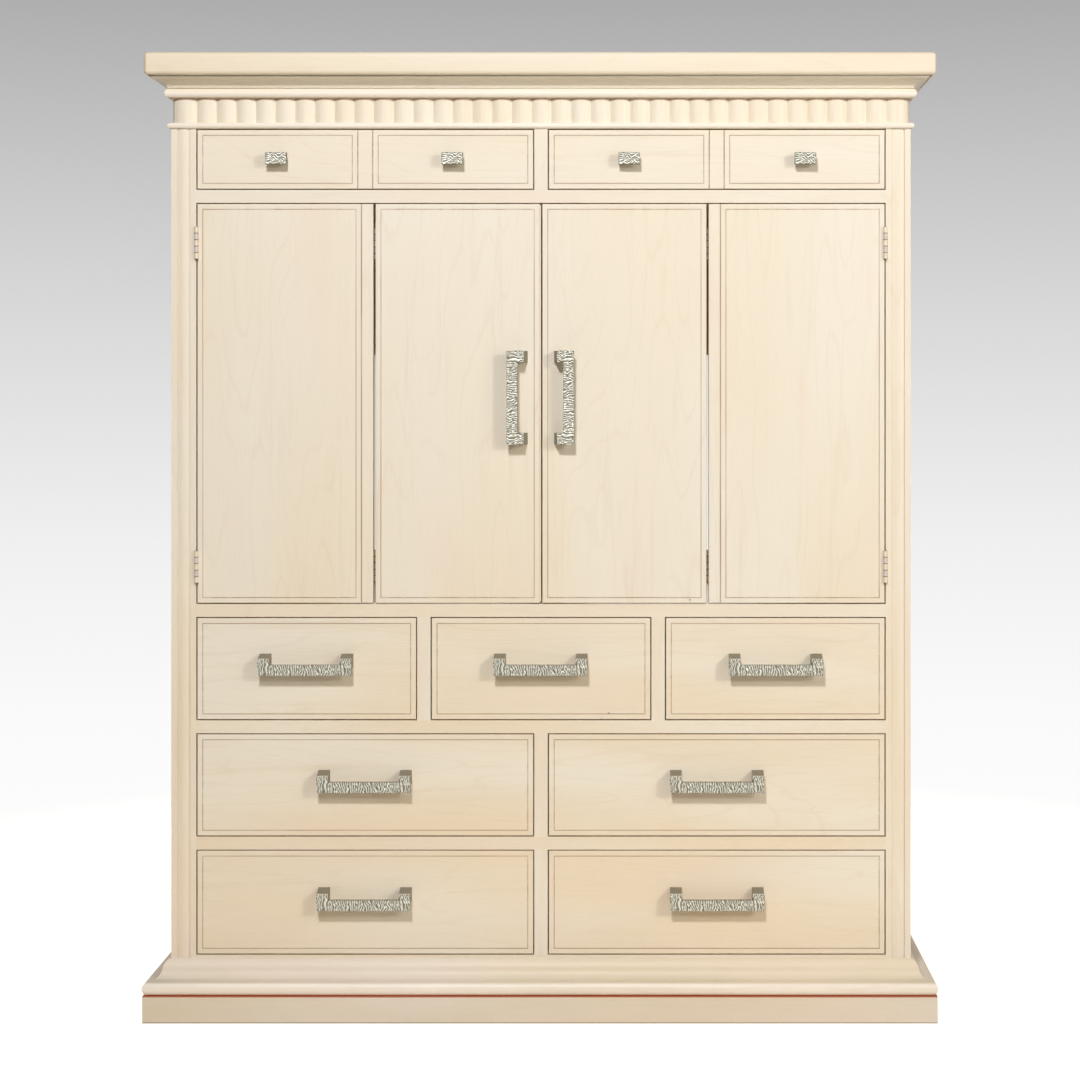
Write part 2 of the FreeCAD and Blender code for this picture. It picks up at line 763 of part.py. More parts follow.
def drawer(where, x, width, z, height, knobs=False):
    leaf = "(%s - 2 * front_gap)" % width
    tall = "(%s - 2 * front_gap)" % height
    if knobs:
        # One wide drawer that looks like two: a false mullion parts two panels.
        left_end = "(%s - false_mullion) / 2" % leaf
        right_start = "(%s + false_mullion) / 2" % leaf
        panels = [("0", left_end), (right_start, leaf)]
        false_grooves = [left_end, right_start]
    else:
        panels = [("0", leaf)]
        false_grooves = []
    face = panelled_front("front_" + where, leaf, tall, panels, false_grooves)
    place(face, x + " + front_gap", "front", z + " + front_gap")
    node("drawer_front_" + where, face)
    box = drawer_box("box_" + where, "(%s - 2 * box_side_clearance)" % width, "(%s - box_headroom)" % height)
    place(box, x + " + box_side_clearance", "front + front_thickness", z + " + run_clearance")
    node("drawer_box_" + where, box)
    middle = z + " + " + height + " / 2"
    if knobs:
        pair = []
        for side, sign in (("left", "-"), ("right", "+")):
            item = knob("knob_%s_%s" % (where, side))
            place(item, "%s + %s / 2 %s (%s + false_mullion) / 4" % (x, width, sign, leaf), "front", middle)
            pair.append(item)
        group("drawer_knobs_" + where, pair)
    else:
        item = pull("pull_" + where)
        place(item, "%s + %s / 2" % (x, width), "front", middle)
        node("drawer_pull_" + where, item)
    guide_start = "front + front_thickness + box_wall + guide_setback"
    centre = "%s + %s / 2" % (x, width)
    return board("guide_" + where, centre + " - guide_width / 2", centre + " + guide_width / 2",
                 guide_start, "inside_back", z, z + " + guide_height")


def door_leaf(name, x, width, strip_side, front_side, rear_side):
    # strip_side: where the false mullion is. front_side and rear_side: the
    # edges that take hinges with their barrels in front or behind.
    panels = {"left": [("fold_strip", width)],
              "right": [("0", width + " - fold_strip")],
              None: [("0", width)]}
    grooves = {"left": ["fold_strip"], "right": [width + " - fold_strip"], None: []}
    body = panelled_front(name, width, "leaf_height", panels[strip_side], grooves[strip_side])
    edges = {"left": ("0 - overshoot", "plate_thickness"),
             "right": (width + " - plate_thickness", width + " + overshoot")}
    if front_side:
        mortise(body, *edges[front_side],
                "0 - overshoot", "overshoot + plate_width + plate_fit", "0 - front_gap")
    if rear_side:
        mortise(body, *edges[rear_side], "front_thickness - plate_width - plate_fit",
                "plate_width + plate_fit + overshoot", "0 - front_gap")
    place(body, x, "front", "bay + front_gap")
    return node(name, body)


# ----------------------------------------------------------------------- hinges

CASE_KNUCKLES = 3
FOLD_KNUCKLES = 2


def hinge_leaf(name, gap, x_sign, y_sign, knuckles, first):
    # Half of a butt hinge, standing on z = 0 with its axis on local z. It has
    # every second knuckle from the first on, and notches for the others. The
    # half with the lowest knuckle holds the pin, and the other half is bored.
    body = new_body(name)
    knuckle = "(hinge_length / %d)" % knuckles
    plan = new_sketch(body, "XY_Plane", offset="knuckle_gap / 2")
    rectangle(plan,
              "%s * (%s / 2)" % (x_sign, gap), "%s * (%s / 2 + plate_thickness)" % (x_sign, gap),
              "0", "%s * (barrel_offset + plate_width)" % y_sign)
    pad(body, plan, "hinge_length - knuckle_gap")
    for index in range(1 - first, knuckles, 2):
        notch = new_sketch(body, "XY_Plane", offset="%s * %d - knuckle_gap / 2" % (knuckle, index))
        rectangle(notch,
                  "0 - %s * overshoot" % x_sign,
                  "%s * (%s / 2 + plate_thickness + overshoot)" % (x_sign, gap),
                  "0 - %s * overshoot" % y_sign, "%s * (barrel_radius + knuckle_gap)" % y_sign)
        pocket(body, notch, knuckle + " + knuckle_gap", reverse=True)
    for index in range(first, knuckles, 2):
        ring = new_sketch(body, "XY_Plane", offset="%s * %d + knuckle_gap / 2" % (knuckle, index))
        circle(ring, "0", "0", "barrel_radius")
        pad(body, ring, knuckle + " - knuckle_gap")
    core = new_sketch(body, "XY_Plane", offset="knuckle_gap / 2")
    if first == 0:
        circle(core, "0", "0", "pin_radius")
        pad(body, core, "hinge_length - knuckle_gap")
    else:
        circle(core, "0", "0", "pin_radius + pin_clearance")
        pocket(body, core, reverse=True)
    return body


def hinge_pair(name, gap, x_sign, y_sign, first, knuckles, x, y):
    # The lower and the upper hinge of a door, one half of each.
    halves = [hinge_leaf("%s_%s" % (name, level), gap, x_sign, y_sign, knuckles, first)
              for level in ("lower", "upper")]
    for half, level in zip(halves, ("lower_hinge", "upper_hinge")):
        place(half, x, y, level)
    return halves


def hinges():
    fixed = []
    for side, sign in (("left", -1), ("right", 1)):
        case = (CASE_KNUCKLES, "%d * case_axis" % sign, "front - barrel_offset")
        fold = (FOLD_KNUCKLES, "%d * fold_axis" % sign, "fold_axis_depth")
        fixed += hinge_pair("case_leaf_" + side, "hinge_gap", sign, 1, 0, *case)
        moving = hinge_pair("door_leaf_" + side, "hinge_gap", -sign, 1, 1, *case)
        outer = hinge_pair("fold_outer_" + side, "fold_gap", sign, -1, 0, *fold)
        inner = hinge_pair("fold_inner_" + side, "fold_gap", -sign, -1, 1, *fold)
        group("door_hinge_leaves_" + side, moving)
        group("fold_hinge_outer_" + side, outer)
        group("fold_hinge_inner_" + side, inner)
    group("case_hinge_leaves", fixed)


# ---------------------------------------------------------------------- catches

def catch(name):
    body = new_body(name)
    plan = new_sketch(body, "XY_Plane")
    rectangle(plan, "0 - catch_width / 2", "catch_width / 2", "0", "catch_depth")
    block = pad(body, plan, "catch_height")
    bevel_edges(body, block, "catch_bevel", along(Vector(0, 0, 1)))
    return body


def strike_plate(name):
    body = new_body(name)
    face = new_sketch(body, "XZ_Plane")
    rectangle(face, "0 - strike_width / 2", "strike_width / 2", "0", "strike_height")
    plate = pad(body, face, "strike_thickness", reverse=True)
    bevel_edges(body, plate, "strike_bevel", along(Vector(0, 1, 0)))
    return body


def catches():
    items = []
    rear = "front + front_thickness"
    for side, sign in (("left", -1), ("right", 1)):
        x = "%d * catch_offset" % sign
        magnet = catch("catch_" + side)
        place(magnet, x, "frame_back", "top_row - board - catch_height")
        items.append(magnet)
        strike = strike_plate("strike_" + side)
        place(strike, x, rear, "bay + bay_height - front_gap - strike_drop - strike_height")
        node("strike_plate_" + side, strike)
    group("door_catches", items)


# --------------------------------------------------------------------- assembly

node("side_panel_left", board("left_side", "0 - half_width", "board - half_width",
                              "frame_back", "back", "plinth_height", "frieze_bottom"))
node("side_panel_right", board("right_side", "half_width - board", "half_width",
                               "frame_back", "back", "plinth_height", "frieze_bottom"))
pilaster("pilaster_left", "0 - half_width", "right")
pilaster("pilaster_right", "half_width - stile_width", "left")
face_frame()
top_board()
cornice_moulding()
reeded_frieze()
astragal_moulding()
base_moulding()
plinth()
node("bay_ceiling", shelf("ceiling", "top_row"))
node("bay_floor", shelf("floor", "bay"))
group("dust_panels", [shelf("dust_panel_bottom", "bottom_row"),
                      shelf("dust_panel_middle", "middle_row"),
                      shelf("dust_panel_upper", "upper_row")])
back_panel()

second = "opening_left + pair_width + mullion_width"
third_step = "(triple_width + mullion_width)"
guides = [
    drawer("top_left", "opening_left", "pair_width", "top_row", "top_drawer_height", knobs=True),
    drawer("top_right", second, "pair_width", "top_row", "top_drawer_height", knobs=True),
    drawer("upper_left", "opening_left", "triple_width", "upper_row", "drawer_height"),
    drawer("upper_middle", "opening_left + " + third_step, "triple_width", "upper_row", "drawer_height"),
    drawer("upper_right", "opening_left + 2 * " + third_step, "triple_width", "upper_row", "drawer_height"),
    drawer("middle_left", "opening_left", "pair_width", "middle_row", "drawer_height"),
    drawer("middle_right", second, "pair_width", "middle_row", "drawer_height"),
    drawer("lower_left", "opening_left", "pair_width", "bottom_row", "bottom_drawer_height"),
    drawer("lower_right", second, "pair_width", "bottom_row", "bottom_drawer_height"),
]
group("drawer_guides", guides)

door_leaf("door_left_outer", "opening_left + hinge_gap", "outer_leaf_width", "right", "left", "right")
door_leaf("door_left_inner", "fold_gap / 2 - fold_axis", "inner_leaf_width", None, None, "left")
door_leaf("door_right_inner", "center_gap / 2", "inner_leaf_width", None, None, "right")
door_leaf("door_right_outer", "fold_axis + fold_gap / 2", "outer_leaf_width", "left", "right", "left")
for side, sign in (("left", -1), ("right", 1)):
    handle = pull("pull_door_" + side)
    handle.Placement = Placement(Vector(), Rotation(Vector(0, 1, 0), -90 * sign))
    place(handle, "%d * door_pull_offset" % sign, "front", "bay + bay_height / 2 + door_pull_rise")
    node("door_pull_" + side, handle)
hinges()
catches()

# ----------------------------------------------------------------------- output

doc.recompute()
for item in doc.Objects:
    if "Invalid" in item.State or "Error" in item.State:
        raise RuntimeError("%s failed: %s" % (item.Label, item.State))
os.makedirs("parts", exist_ok=True)
for name, item in nodes.items():
    shape = item.Shape
    if shape.isNull() or not shape.isValid() or not shape.Solids:
        raise RuntimeError(name + " has no sound solid")
for name, item in nodes.items():
    item.Shape.exportStep("parts/%s.step" % name)
print("%d nodes, %d solids" % (len(nodes), sum(len(item.Shape.Solids) for item in nodes.values())))
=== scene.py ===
import json
import math
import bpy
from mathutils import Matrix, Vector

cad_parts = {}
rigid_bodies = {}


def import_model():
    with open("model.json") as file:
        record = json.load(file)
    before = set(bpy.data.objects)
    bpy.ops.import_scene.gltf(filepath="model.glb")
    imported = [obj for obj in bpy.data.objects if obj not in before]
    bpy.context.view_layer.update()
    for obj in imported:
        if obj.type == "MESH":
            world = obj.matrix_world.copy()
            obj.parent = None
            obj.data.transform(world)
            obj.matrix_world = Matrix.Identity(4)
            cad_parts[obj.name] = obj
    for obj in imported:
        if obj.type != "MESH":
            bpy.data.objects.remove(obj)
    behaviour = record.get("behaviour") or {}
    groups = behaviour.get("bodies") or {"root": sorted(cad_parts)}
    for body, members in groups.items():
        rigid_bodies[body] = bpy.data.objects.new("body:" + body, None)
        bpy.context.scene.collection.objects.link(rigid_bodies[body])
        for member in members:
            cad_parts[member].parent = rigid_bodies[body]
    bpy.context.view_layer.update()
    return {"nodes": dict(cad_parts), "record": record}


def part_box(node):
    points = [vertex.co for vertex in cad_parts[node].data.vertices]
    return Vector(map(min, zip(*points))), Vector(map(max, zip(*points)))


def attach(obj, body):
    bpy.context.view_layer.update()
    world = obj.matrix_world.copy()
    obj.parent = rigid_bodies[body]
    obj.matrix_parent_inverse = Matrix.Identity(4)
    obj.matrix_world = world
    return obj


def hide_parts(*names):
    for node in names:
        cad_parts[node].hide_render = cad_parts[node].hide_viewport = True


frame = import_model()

from types import SimpleNamespace

import bmesh
import bpy
from mathutils import Matrix, Vector, noise

sceneObjects = bpy.context.scene.collection.objects
nodes = frame["nodes"]
bodies = frame["record"]["behaviour"]["bodies"]
mm = 0.001
# Points closer than this are merged.
weld = 0.01 * mm
# The turn at an edge, in degrees, from which it is shaded sharp.
creases = {"board": 32, "moulding": 28, "reed": 30, "screw": 40, "cast": 50}


def shade(red, green, blue):
    # A display colour from 0 to 255, as the linear colour that the shaders take.
    linear = [((v / 255 + 0.055) / 1.055) ** 2.4 if v > 10 else v / 255 / 12.92 for v in (red, green, blue)]
    return (*linear, 1.0)


# Node trees

class Wire:
    # One output of a node, so that maths on it can be written as an expression.
    def __init__(self, bench, socket):
        self.bench = bench
        self.socket = socket

    def output(self, name):
        return Wire(self.bench, self.socket.node.outputs[name])

    def __add__(self, other):
        return self.bench.maths("ADD", self, other)

    def __sub__(self, other):
        return self.bench.maths("SUBTRACT", self, other)

    def __mul__(self, other):
        return self.bench.maths("MULTIPLY", self, other)

    def __truediv__(self, other):
        return self.bench.maths("DIVIDE", self, other)

    def __radd__(self, other):
        return self.bench.maths("ADD", other, self)

    def __rsub__(self, other):
        return self.bench.maths("SUBTRACT", other, self)

    def __rmul__(self, other):
        return self.bench.maths("MULTIPLY", other, self)

    def __abs__(self):
        return self.bench.maths("ABSOLUTE", self)


class Bench:
    # A node tree and the ways of adding to it.
    def __init__(self, tree):
        self.tree = tree
        tree.nodes.clear()

    def node(self, kind, settings=None, values=None, out=0):
        # Gives the new node's output, or the node itself where it has none.
        made = self.tree.nodes.new(kind)
        for name, value in (settings or {}).items():
            if name == "stops":
                self.setStops(made.color_ramp, value)
            else:
                setattr(made, name, value)
        for name, value in (values or {}).items():
            if isinstance(value, Wire):
                self.tree.links.new(value.socket, made.inputs[name])
            else:
                made.inputs[name].default_value = value
        return Wire(self, made.outputs[out]) if made.outputs else made

    def setStops(self, ramp, stops):
        while len(ramp.elements) < len(stops):
            ramp.elements.new(0.5)
        for element, (place, colour) in zip(ramp.elements, stops):
            element.position = place
            element.color = colour

    def maths(self, operation, *values):
        return self.node("ShaderNodeMath", {"operation": operation}, dict(enumerate(values)))


class Finish(Bench):
    # A material. Its patterns read the piece's own coordinates, in metres.
    def __init__(self, name):
        self.material = bpy.data.materials.new(name)
        self.material.use_nodes = True
        super().__init__(self.material.node_tree)
        self.place = self.node("ShaderNodeTexCoord", out="Object")
        apart = self.node("ShaderNodeSeparateXYZ", values={0: self.place})
        self.y, self.z = apart.output("Y"), apart.output("Z")

    def clouds(self, stretch, offset, detail, roughness=0.5, distortion=0.0):
        scaled = self.node("ShaderNodeVectorMath", {"operation": "MULTIPLY_ADD"},
                           {0: self.place, 1: stretch, 2: (offset, offset * 0.7, offset * 1.3)})
        return self.node("ShaderNodeTexNoise", values={
            "Vector": scaled, "Scale": 1.0, "Detail": detail,
            "Roughness": roughness, "Distortion": distortion})

    def grained(self, grain, offset, patterns):
        # The named patterns of a wood whose grain runs along an axis.
        made = {}
        for name, ((along, across), shift, *form) in patterns.items():
            stretch = tuple(along if axis == grain else across for axis in "xyz")
            made[name] = self.clouds(stretch, offset + shift, *form)
        return SimpleNamespace(**made)

    def step(self, value, low, high):
        # 0 below low, 1 above high and a smooth rise between. high may be under low.
        return self.node("ShaderNodeMapRange", {"interpolation_type": "SMOOTHSTEP"},
                         {"Value": value, "From Min": low, "From Max": high})

    def mix(self, share, first, second):
        return self.node("ShaderNodeMix", {"data_type": "RGBA"}, {0: share, 6: first, 7: second}, out=2)

    def lay(self, colour, value, tone, within=None):
        # Lays a tone on a colour. A tone is its own colour, the two values
        # between which it sets in, and its share, which within can lower.
        tint, band, share = tone
        share = self.step(value, *band) * share
        if within is not None:
            share = share * within
        return self.mix(share, colour, tint)

    def bump(self, height, strength, distance):
        values = {"Strength": strength, "Distance": distance, "Height": height}
        return self.node("ShaderNodeBump", values=values)

    def surface(self, values):
        shader = self.node("ShaderNodeBsdfPrincipled", values=values)
        self.node("ShaderNodeOutputMaterial", values={"Surface": shader})
        return self.material


# Camera and light

camera = {
    "place": (0.1868, -4.5279, 1.2226),
    "lens": 71.86,
    "sensor": 36.0,
    "shift": (-0.0882, -0.13),
}
lamps = {
    "frontSoftbox": {"place": (-0.38, -4.45, 4.0), "size": 0.5, "power": 155, "tint": (0.975, 0.975, 1.0)},
    "rightSoftbox": {"place": (3.9, -4.6, 2.7), "size": 0.45, "power": 73, "tint": (1.0, 0.955, 0.86)},
    "sidePanel": {"place": (2.2, -2.4, 1.7), "size": 2.0, "power": 19, "tint": (1.0, 0.97, 0.945)},
    "backSoftbox": {"place": (0.0, 4.6, 3.1), "size": 1.6, "power": 110, "tint": (1.0, 0.99, 0.975)},
}
studio = {
    "lampAim": (0.0, -0.25, 1.0),
    "fill": 0.13,
    "fillTint": (1.0, 0.82, 0.58, 1.0),
    "floorReach": (1.7, 2.6),
    "floorColour": shade(230, 219, 202),
    "floorGlow": 0.8,
    # The backdrop's grey by the height of the line of sight, as display values.
    "backdrop": [(-0.24, 255), (-0.14, 250), (-0.065, 240), (-0.01, 228), (0.046, 215),
                 (0.1, 200), (0.18, 173), (0.4, 160)],
}


def makeCamera(sizes):
    data = bpy.data.cameras.new("camera")
    data.lens = sizes["lens"]
    data.sensor_width = sizes["sensor"]
    data.shift_x, data.shift_y = sizes["shift"]
    holder = bpy.data.objects.new("camera", data)
    holder.location = sizes["place"]
    holder.rotation_euler = (math.radians(90), 0, 0)
    sceneObjects.link(holder)
    bpy.context.scene.camera = holder


def makeLamps(sizes, aim):
    for name, lamp in sizes.items():
        data = bpy.data.lights.new(name, "AREA")
        data.shape = "SQUARE"
        data.size = lamp["size"]
        data.energy = lamp["power"]
        data.color = lamp["tint"]
        holder = bpy.data.objects.new(name, data)
        holder.location = lamp["place"]
        sight = Vector(aim) - Vector(lamp["place"])
        holder.rotation_euler = sight.to_track_quat("-Z", "Y").to_euler()
        sceneObjects.link(holder)


def makeBackdrop(sizes):
    world = bpy.data.worlds.new("studio")
    world.use_nodes = True
    bpy.context.scene.world = world
    bench = Bench(world.node_tree)
    sight = bench.node("ShaderNodeTexCoord", out="Generated")
    height = bench.node("ShaderNodeSeparateXYZ", values={0: sight}, out="Z")
    lowest, highest = sizes["backdrop"][0][0], sizes["backdrop"][-1][0]
    stops = [((z - lowest) / (highest - lowest), shade(grey, grey, grey))
             for z, grey in sizes["backdrop"]]
    share = bench.node("ShaderNodeMapRange",
                       values={"Value": height, "From Min": lowest, "From Max": highest})
    grey = bench.node("ShaderNodeValToRGB", {"stops": stops}, {"Fac": share})
    seen = bench.node("ShaderNodeBackground", values={"Color": grey, "Strength": 1.0})
    fill = bench.node("ShaderNodeBackground",
                      values={"Color": sizes["fillTint"], "Strength": sizes["fill"]})
    ray = bench.node("ShaderNodeLightPath", out="Is Camera Ray")
    bent = bench.maths("MAXIMUM", ray.output("Is Glossy Ray"), ray.output("Is Transmission Ray"))
    shows = bench.maths("MAXIMUM", ray, bent)
    mixed = bench.node("ShaderNodeMixShader", values={0: shows, 1: fill, 2: seen})
    bench.node("ShaderNodeOutputWorld", values={"Surface": mixed})


def makeFloor(sizes):
    near, far = sizes["floorReach"]
    mesh = bpy.data.meshes.new("floor")
    corners = [(-far, -far, 0), (far, -far, 0), (far, far, 0), (-far, far, 0)]
    mesh.from_pydata(corners, [], [(0, 1, 2, 3)])
    floor = bpy.data.objects.new("floor", mesh)
    sceneObjects.link(floor)
    finish = Finish("floorPaper")
    radius = finish.node("ShaderNodeVectorMath", {"operation": "LENGTH"}, {0: finish.place}, out="Value")
    ray = finish.node("ShaderNodeLightPath", out="Is Camera Ray")
    lit = finish.node("ShaderNodeBsdfDiffuse", values={"Color": sizes["floorColour"]})
    shows = finish.maths("MAXIMUM", ray, ray.output("Is Glossy Ray"))
    glow = finish.node("ShaderNodeEmission",
                       values={"Color": (1, 1, 1, 1), "Strength": shows * sizes["floorGlow"]})
    paper = finish.node("ShaderNodeAddShader", values={0: lit, 1: glow})
    clear = finish.node("ShaderNodeBsdfTransparent")
    faded = finish.node("ShaderNodeMixShader",
                        values={0: finish.step(radius, near, far), 1: paper, 2: clear})
    finish.node("ShaderNodeOutputMaterial", values={"Surface": faded})
    mesh.materials.append(finish.material)


bpy.context.scene.view_settings.view_transform = "Standard"
makeCamera(camera)
makeLamps(lamps, studio["lampAim"])
makeBackdrop(studio)
makeFloor(studio)
print("studio ready")


# Wood finishes

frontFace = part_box("face_frame")[0].y
glazeTone = shade(168, 132, 100)
streakTone = shade(222, 202, 172)

pickled = {
    # Patterns: how often each changes in a metre along the grain and across it,
    # then its shift, detail, roughness and distortion.
    "patterns": {
        "patches": ((1.1, 5.5), 0, 2.0),
        "bloom": ((2.1, 9.0), 7, 2.0),
        "figure": ((2.6, 42.0), 13, 4.0, 0.55, 0.8),
        "growth": ((0.9, 6.5), 37, 2.0, 0.4),
        "fibres": ((14.0, 420.0), 19, 2.0, 0.6),
        "pores": ((60.0, 1100.0), 23, 1.0),
    },
    "cream": shade(240, 233, 217),
    "honey": shade(237, 219, 189),
    "honeyBand": (0.34, 0.66),
    # The share of honey at the top, and what the lower part has more.
    "honeyShare": (0.28, 0.52),
    "warmBand": (1.15, 0.45),
    "blush": (shade(239, 222, 206), (0.5, 0.72), 0.34),
    # Growth rings: how many the slow pattern holds, and how the figure bends them.
    "rings": (17.0, 0.5),
    "ring": (streakTone, (0.1, 0.0), 0.15),
    "ringFade": (0.62, 0.45),
    "streak": (streakTone, (0.54, 0.82), 0.32),
    "fibre": (streakTone, (0.5, 0.8), 0.2),
    "pore": (shade(247, 238, 222), (0.62, 0.72), 0.4),
    # A darker colour of two tones lies below its top, whose height wanders by
    # the wave, so the wood is darker towards the bottom.
    "grime": (shade(197, 188, 171), shade(211, 197, 189)),
    "lowerBand": (0.38, 0.62),
    "lowerTop": 0.26,
    "lowerWave": 0.1,
    "lowerShare": 0.5,
    # The figure lets the glaze through unevenly, between these values of it, and
    # lets through at least this share of it in lines and on trim.
    "glazeBand": (0.35, 0.6),
    "lineLeast": 0.55,
    "trimLeast": 0.6,
    # The depths between which the glaze of a line gives way to the plain edge.
    "edgeDepth": (14 * mm, 5 * mm),
    "stained": (glazeTone, (0.25, 0.95), 1.0),
    # Where the stain is below 0 the trim is paler: a rubbed finish, and a painted highlight on the beads.
    "rubAndHighlight": (shade(250, 243, 232), (-0.1, -1.0), 0.8),
    # Lines at a height: the distances from it between which each fades out.
    # A painted shadow line under the cornice's bead, across the top of the frieze.
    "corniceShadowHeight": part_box("cornice_moulding")[0].z - 1.2 * mm,
    "corniceShadowLine": (glazeTone, (3.0 * mm, 1.2 * mm), 0.65),
    "seam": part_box("plinth")[1].z,
    "seamLine": (shade(178, 100, 62), (3.2 * mm, 0.6 * mm), 1.0),
    "seamWave": 2 * mm,
    # A painted contact shadow along the floor at the foot of the plinth.
    "floorContactShadow": (shade(112, 114, 98), (3.4 * mm, 1.2 * mm), 0.75),
    # A knock: its colour and share, and the part of its radius that has all of it.
    "knock": shade(96, 82, 74),
    "knockShare": 0.6,
    "knockCore": 0.4,
    "coat": 0.12,
    "coatRoughness": 0.35,
    # The bump's strength and its depth.
    "relief": (0.22, 0.4 * mm),
}
# Small knocks: place of each on the front, and its radius, in metres.
knocks = [((-0.744, 0.069), 3.0 * mm), ((-0.546, 0.077), 2.2 * mm),
          ((0.134, 0.601), 2.6 * mm), ((0.295, 0.826), 2.4 * mm)]

# Glaze in cut lines: the depths between which it sets in, and its strength.
frontLines = {"depth": (0.35 * mm, 1.0 * mm), "share": 0.7}
stileLines = {"depth": (1.7 * mm, 2.5 * mm), "share": 0.32}


def pickledColour(finish, wood, honeyed):
    least, more = pickled["honeyShare"]
    warm = least + more * finish.step(finish.z, *pickled["warmBand"])
    honey = finish.step(wood.patches, *pickled["honeyBand"]) * warm + honeyed
    colour = finish.mix(honey, pickled["cream"], pickled["honey"])
    colour = finish.lay(colour, wood.bloom, pickled["blush"])
    # Growth rings are contour lines of a slow pattern, which close into arches.
    count, bend = pickled["rings"]
    ring = abs(finish.maths("FRACT", wood.growth * count + wood.figure * bend) - 0.5)
    colour = finish.lay(colour, ring, pickled["ring"], finish.step(wood.bloom, *pickled["ringFade"]))
    colour = finish.lay(colour, wood.figure, pickled["streak"])
    colour = finish.lay(colour, wood.fibres, pickled["fibre"])
    colour = finish.lay(colour, wood.pores, pickled["pore"])
    # Darker towards the bottom.
    grime = finish.mix(finish.step(wood.bloom, *pickled["lowerBand"]), *pickled["grime"])
    height = finish.z + (wood.patches - 0.5) * pickled["lowerWave"]
    low = finish.step(height, pickled["lowerTop"], 0.0)
    return finish.mix(low * pickled["lowerShare"], colour, grime)


def unevenGlaze(finish, wood, least):
    return least + (1 - least) * finish.step(wood.figure, *pickled["glazeBand"])


def glazedTrim(finish, wood, colour, stain):
    # Glaze where the stain says so, and where it is below 0 a paler finish:
    # rubbed, with a painted highlight on the beads. Then a painted shadow line
    # under the cornice, a line over the plinth and a painted contact shadow along
    # the floor.
    uneven = unevenGlaze(finish, wood, pickled["trimLeast"])
    colour = finish.lay(colour, stain, pickled["stained"], uneven)
    colour = finish.lay(colour, stain, pickled["rubAndHighlight"], uneven)
    # Painted shadow under the cornice.
    colour = finish.lay(colour, abs(finish.z - pickled["corniceShadowHeight"]), pickled["corniceShadowLine"])
    seam = abs(finish.z - pickled["seam"] + (wood.bloom - 0.5) * pickled["seamWave"])
    colour = finish.lay(colour, seam, pickled["seamLine"])
    # Painted contact shadow along the floor.
    return finish.lay(colour, finish.z, pickled["floorContactShadow"])


def knocked(finish, wood, colour):
    for (x, z), radius in knocks:
        away = finish.node("ShaderNodeVectorMath", {"operation": "DISTANCE"},
                           {0: finish.place, 1: (x, frontFace, z)}, out="Value")
        ragged = away + (wood.fibres - 0.5) * radius
        band = (radius, radius * pickled["knockCore"])
        colour = finish.lay(colour, ragged, (pickled["knock"], band, pickled["knockShare"]))
    return colour


def pickledWood(name, grain, offset, lines=None, stained=False, worn=False, honeyed=0.0):
    # lines: how glaze lies in the lines cut into a piece. stained: glaze and a
    # painted highlight follow the piece's own attribute, with painted shadow lines
    # under the cornice and along the floor. worn: the piece has the small knocks.
    # honeyed: the least share of the warm colour.
    finish = Finish(name)
    wood = finish.grained(grain, offset, pickled["patterns"])
    colour = pickledColour(finish, wood, honeyed)
    pores = finish.step(wood.pores, *pickled["pore"][1])
    rough = 0.44 + wood.bloom * 0.14 + pores * 0.12
    if lines:
        depth = finish.y - frontFace
        cut = finish.step(depth, *lines["depth"]) * finish.step(depth, *pickled["edgeDepth"])
        uneven = unevenGlaze(finish, wood, pickled["lineLeast"])
        colour = finish.mix(cut * uneven * lines["share"], colour, glazeTone)
        rough = rough + cut * 0.2
    if stained:
        stain = finish.node("ShaderNodeAttribute", {"attribute_name": "glaze"}, out="Fac")
        colour = glazedTrim(finish, wood, colour, stain)
        rough = rough + stain * 0.1
    if worn:
        colour = knocked(finish, wood, colour)
    relief = wood.fibres * 0.6 + wood.figure * 0.3 - pores * 0.5
    return finish.surface({
        "Base Color": colour, "Roughness": rough, "Normal": finish.bump(relief, *pickled["relief"]),
        "Coat Weight": pickled["coat"], "Coat Roughness": pickled["coatRoughness"]})


frontWood = pickledWood("pickledFront", "x", 0.0, frontLines, worn=True)
doorWood = pickledWood("pickledDoor", "z", 31.0, frontLines, worn=True)
stileWood = pickledWood("pickledStile", "z", 47.0, stileLines)
railWood = pickledWood("pickledRail", "x", 59.0)
mullionWood = pickledWood("pickledMullion", "z", 61.0)
sideWood = pickledWood("pickledSide", "z", 73.0)
topWood = pickledWood("pickledTop", "x", 83.0, honeyed=0.4)
trimWood = pickledWood("pickledTrim", "x", 97.0, stained=True)
returnWood = pickledWood("pickledReturn", "y", 101.0, stained=True)
reedWood = pickledWood("pickledReed", "z", 109.0, stained=True, honeyed=0.15)

plainWood = {
    # These are written as the pickled wood's are.
    "patterns": {
        "drift": ((1.4, 6.0), 0, 2.0),
        "figure": ((1.8, 26.0), 5, 4.0, 0.6, 1.4),
        "fibres": ((16.0, 480.0), 11, 2.0, 0.6),
    },
    "rings": (34.0, 9.0),
    # Where the rings and the fibres darken the wood, and how much.
    "ringBand": (-0.6, 1.0),
    "ringShare": 0.55,
    "fibreBand": (0.45, 0.75),
    "fibreShare": 0.3,
    "relief": (0.2, 0.35 * mm),
    "insidePale": shade(214, 188, 150),
    "insideDark": shade(188, 155, 112),
    "drawerPale": shade(224, 202, 164),
    "drawerDark": shade(197, 165, 120),
}


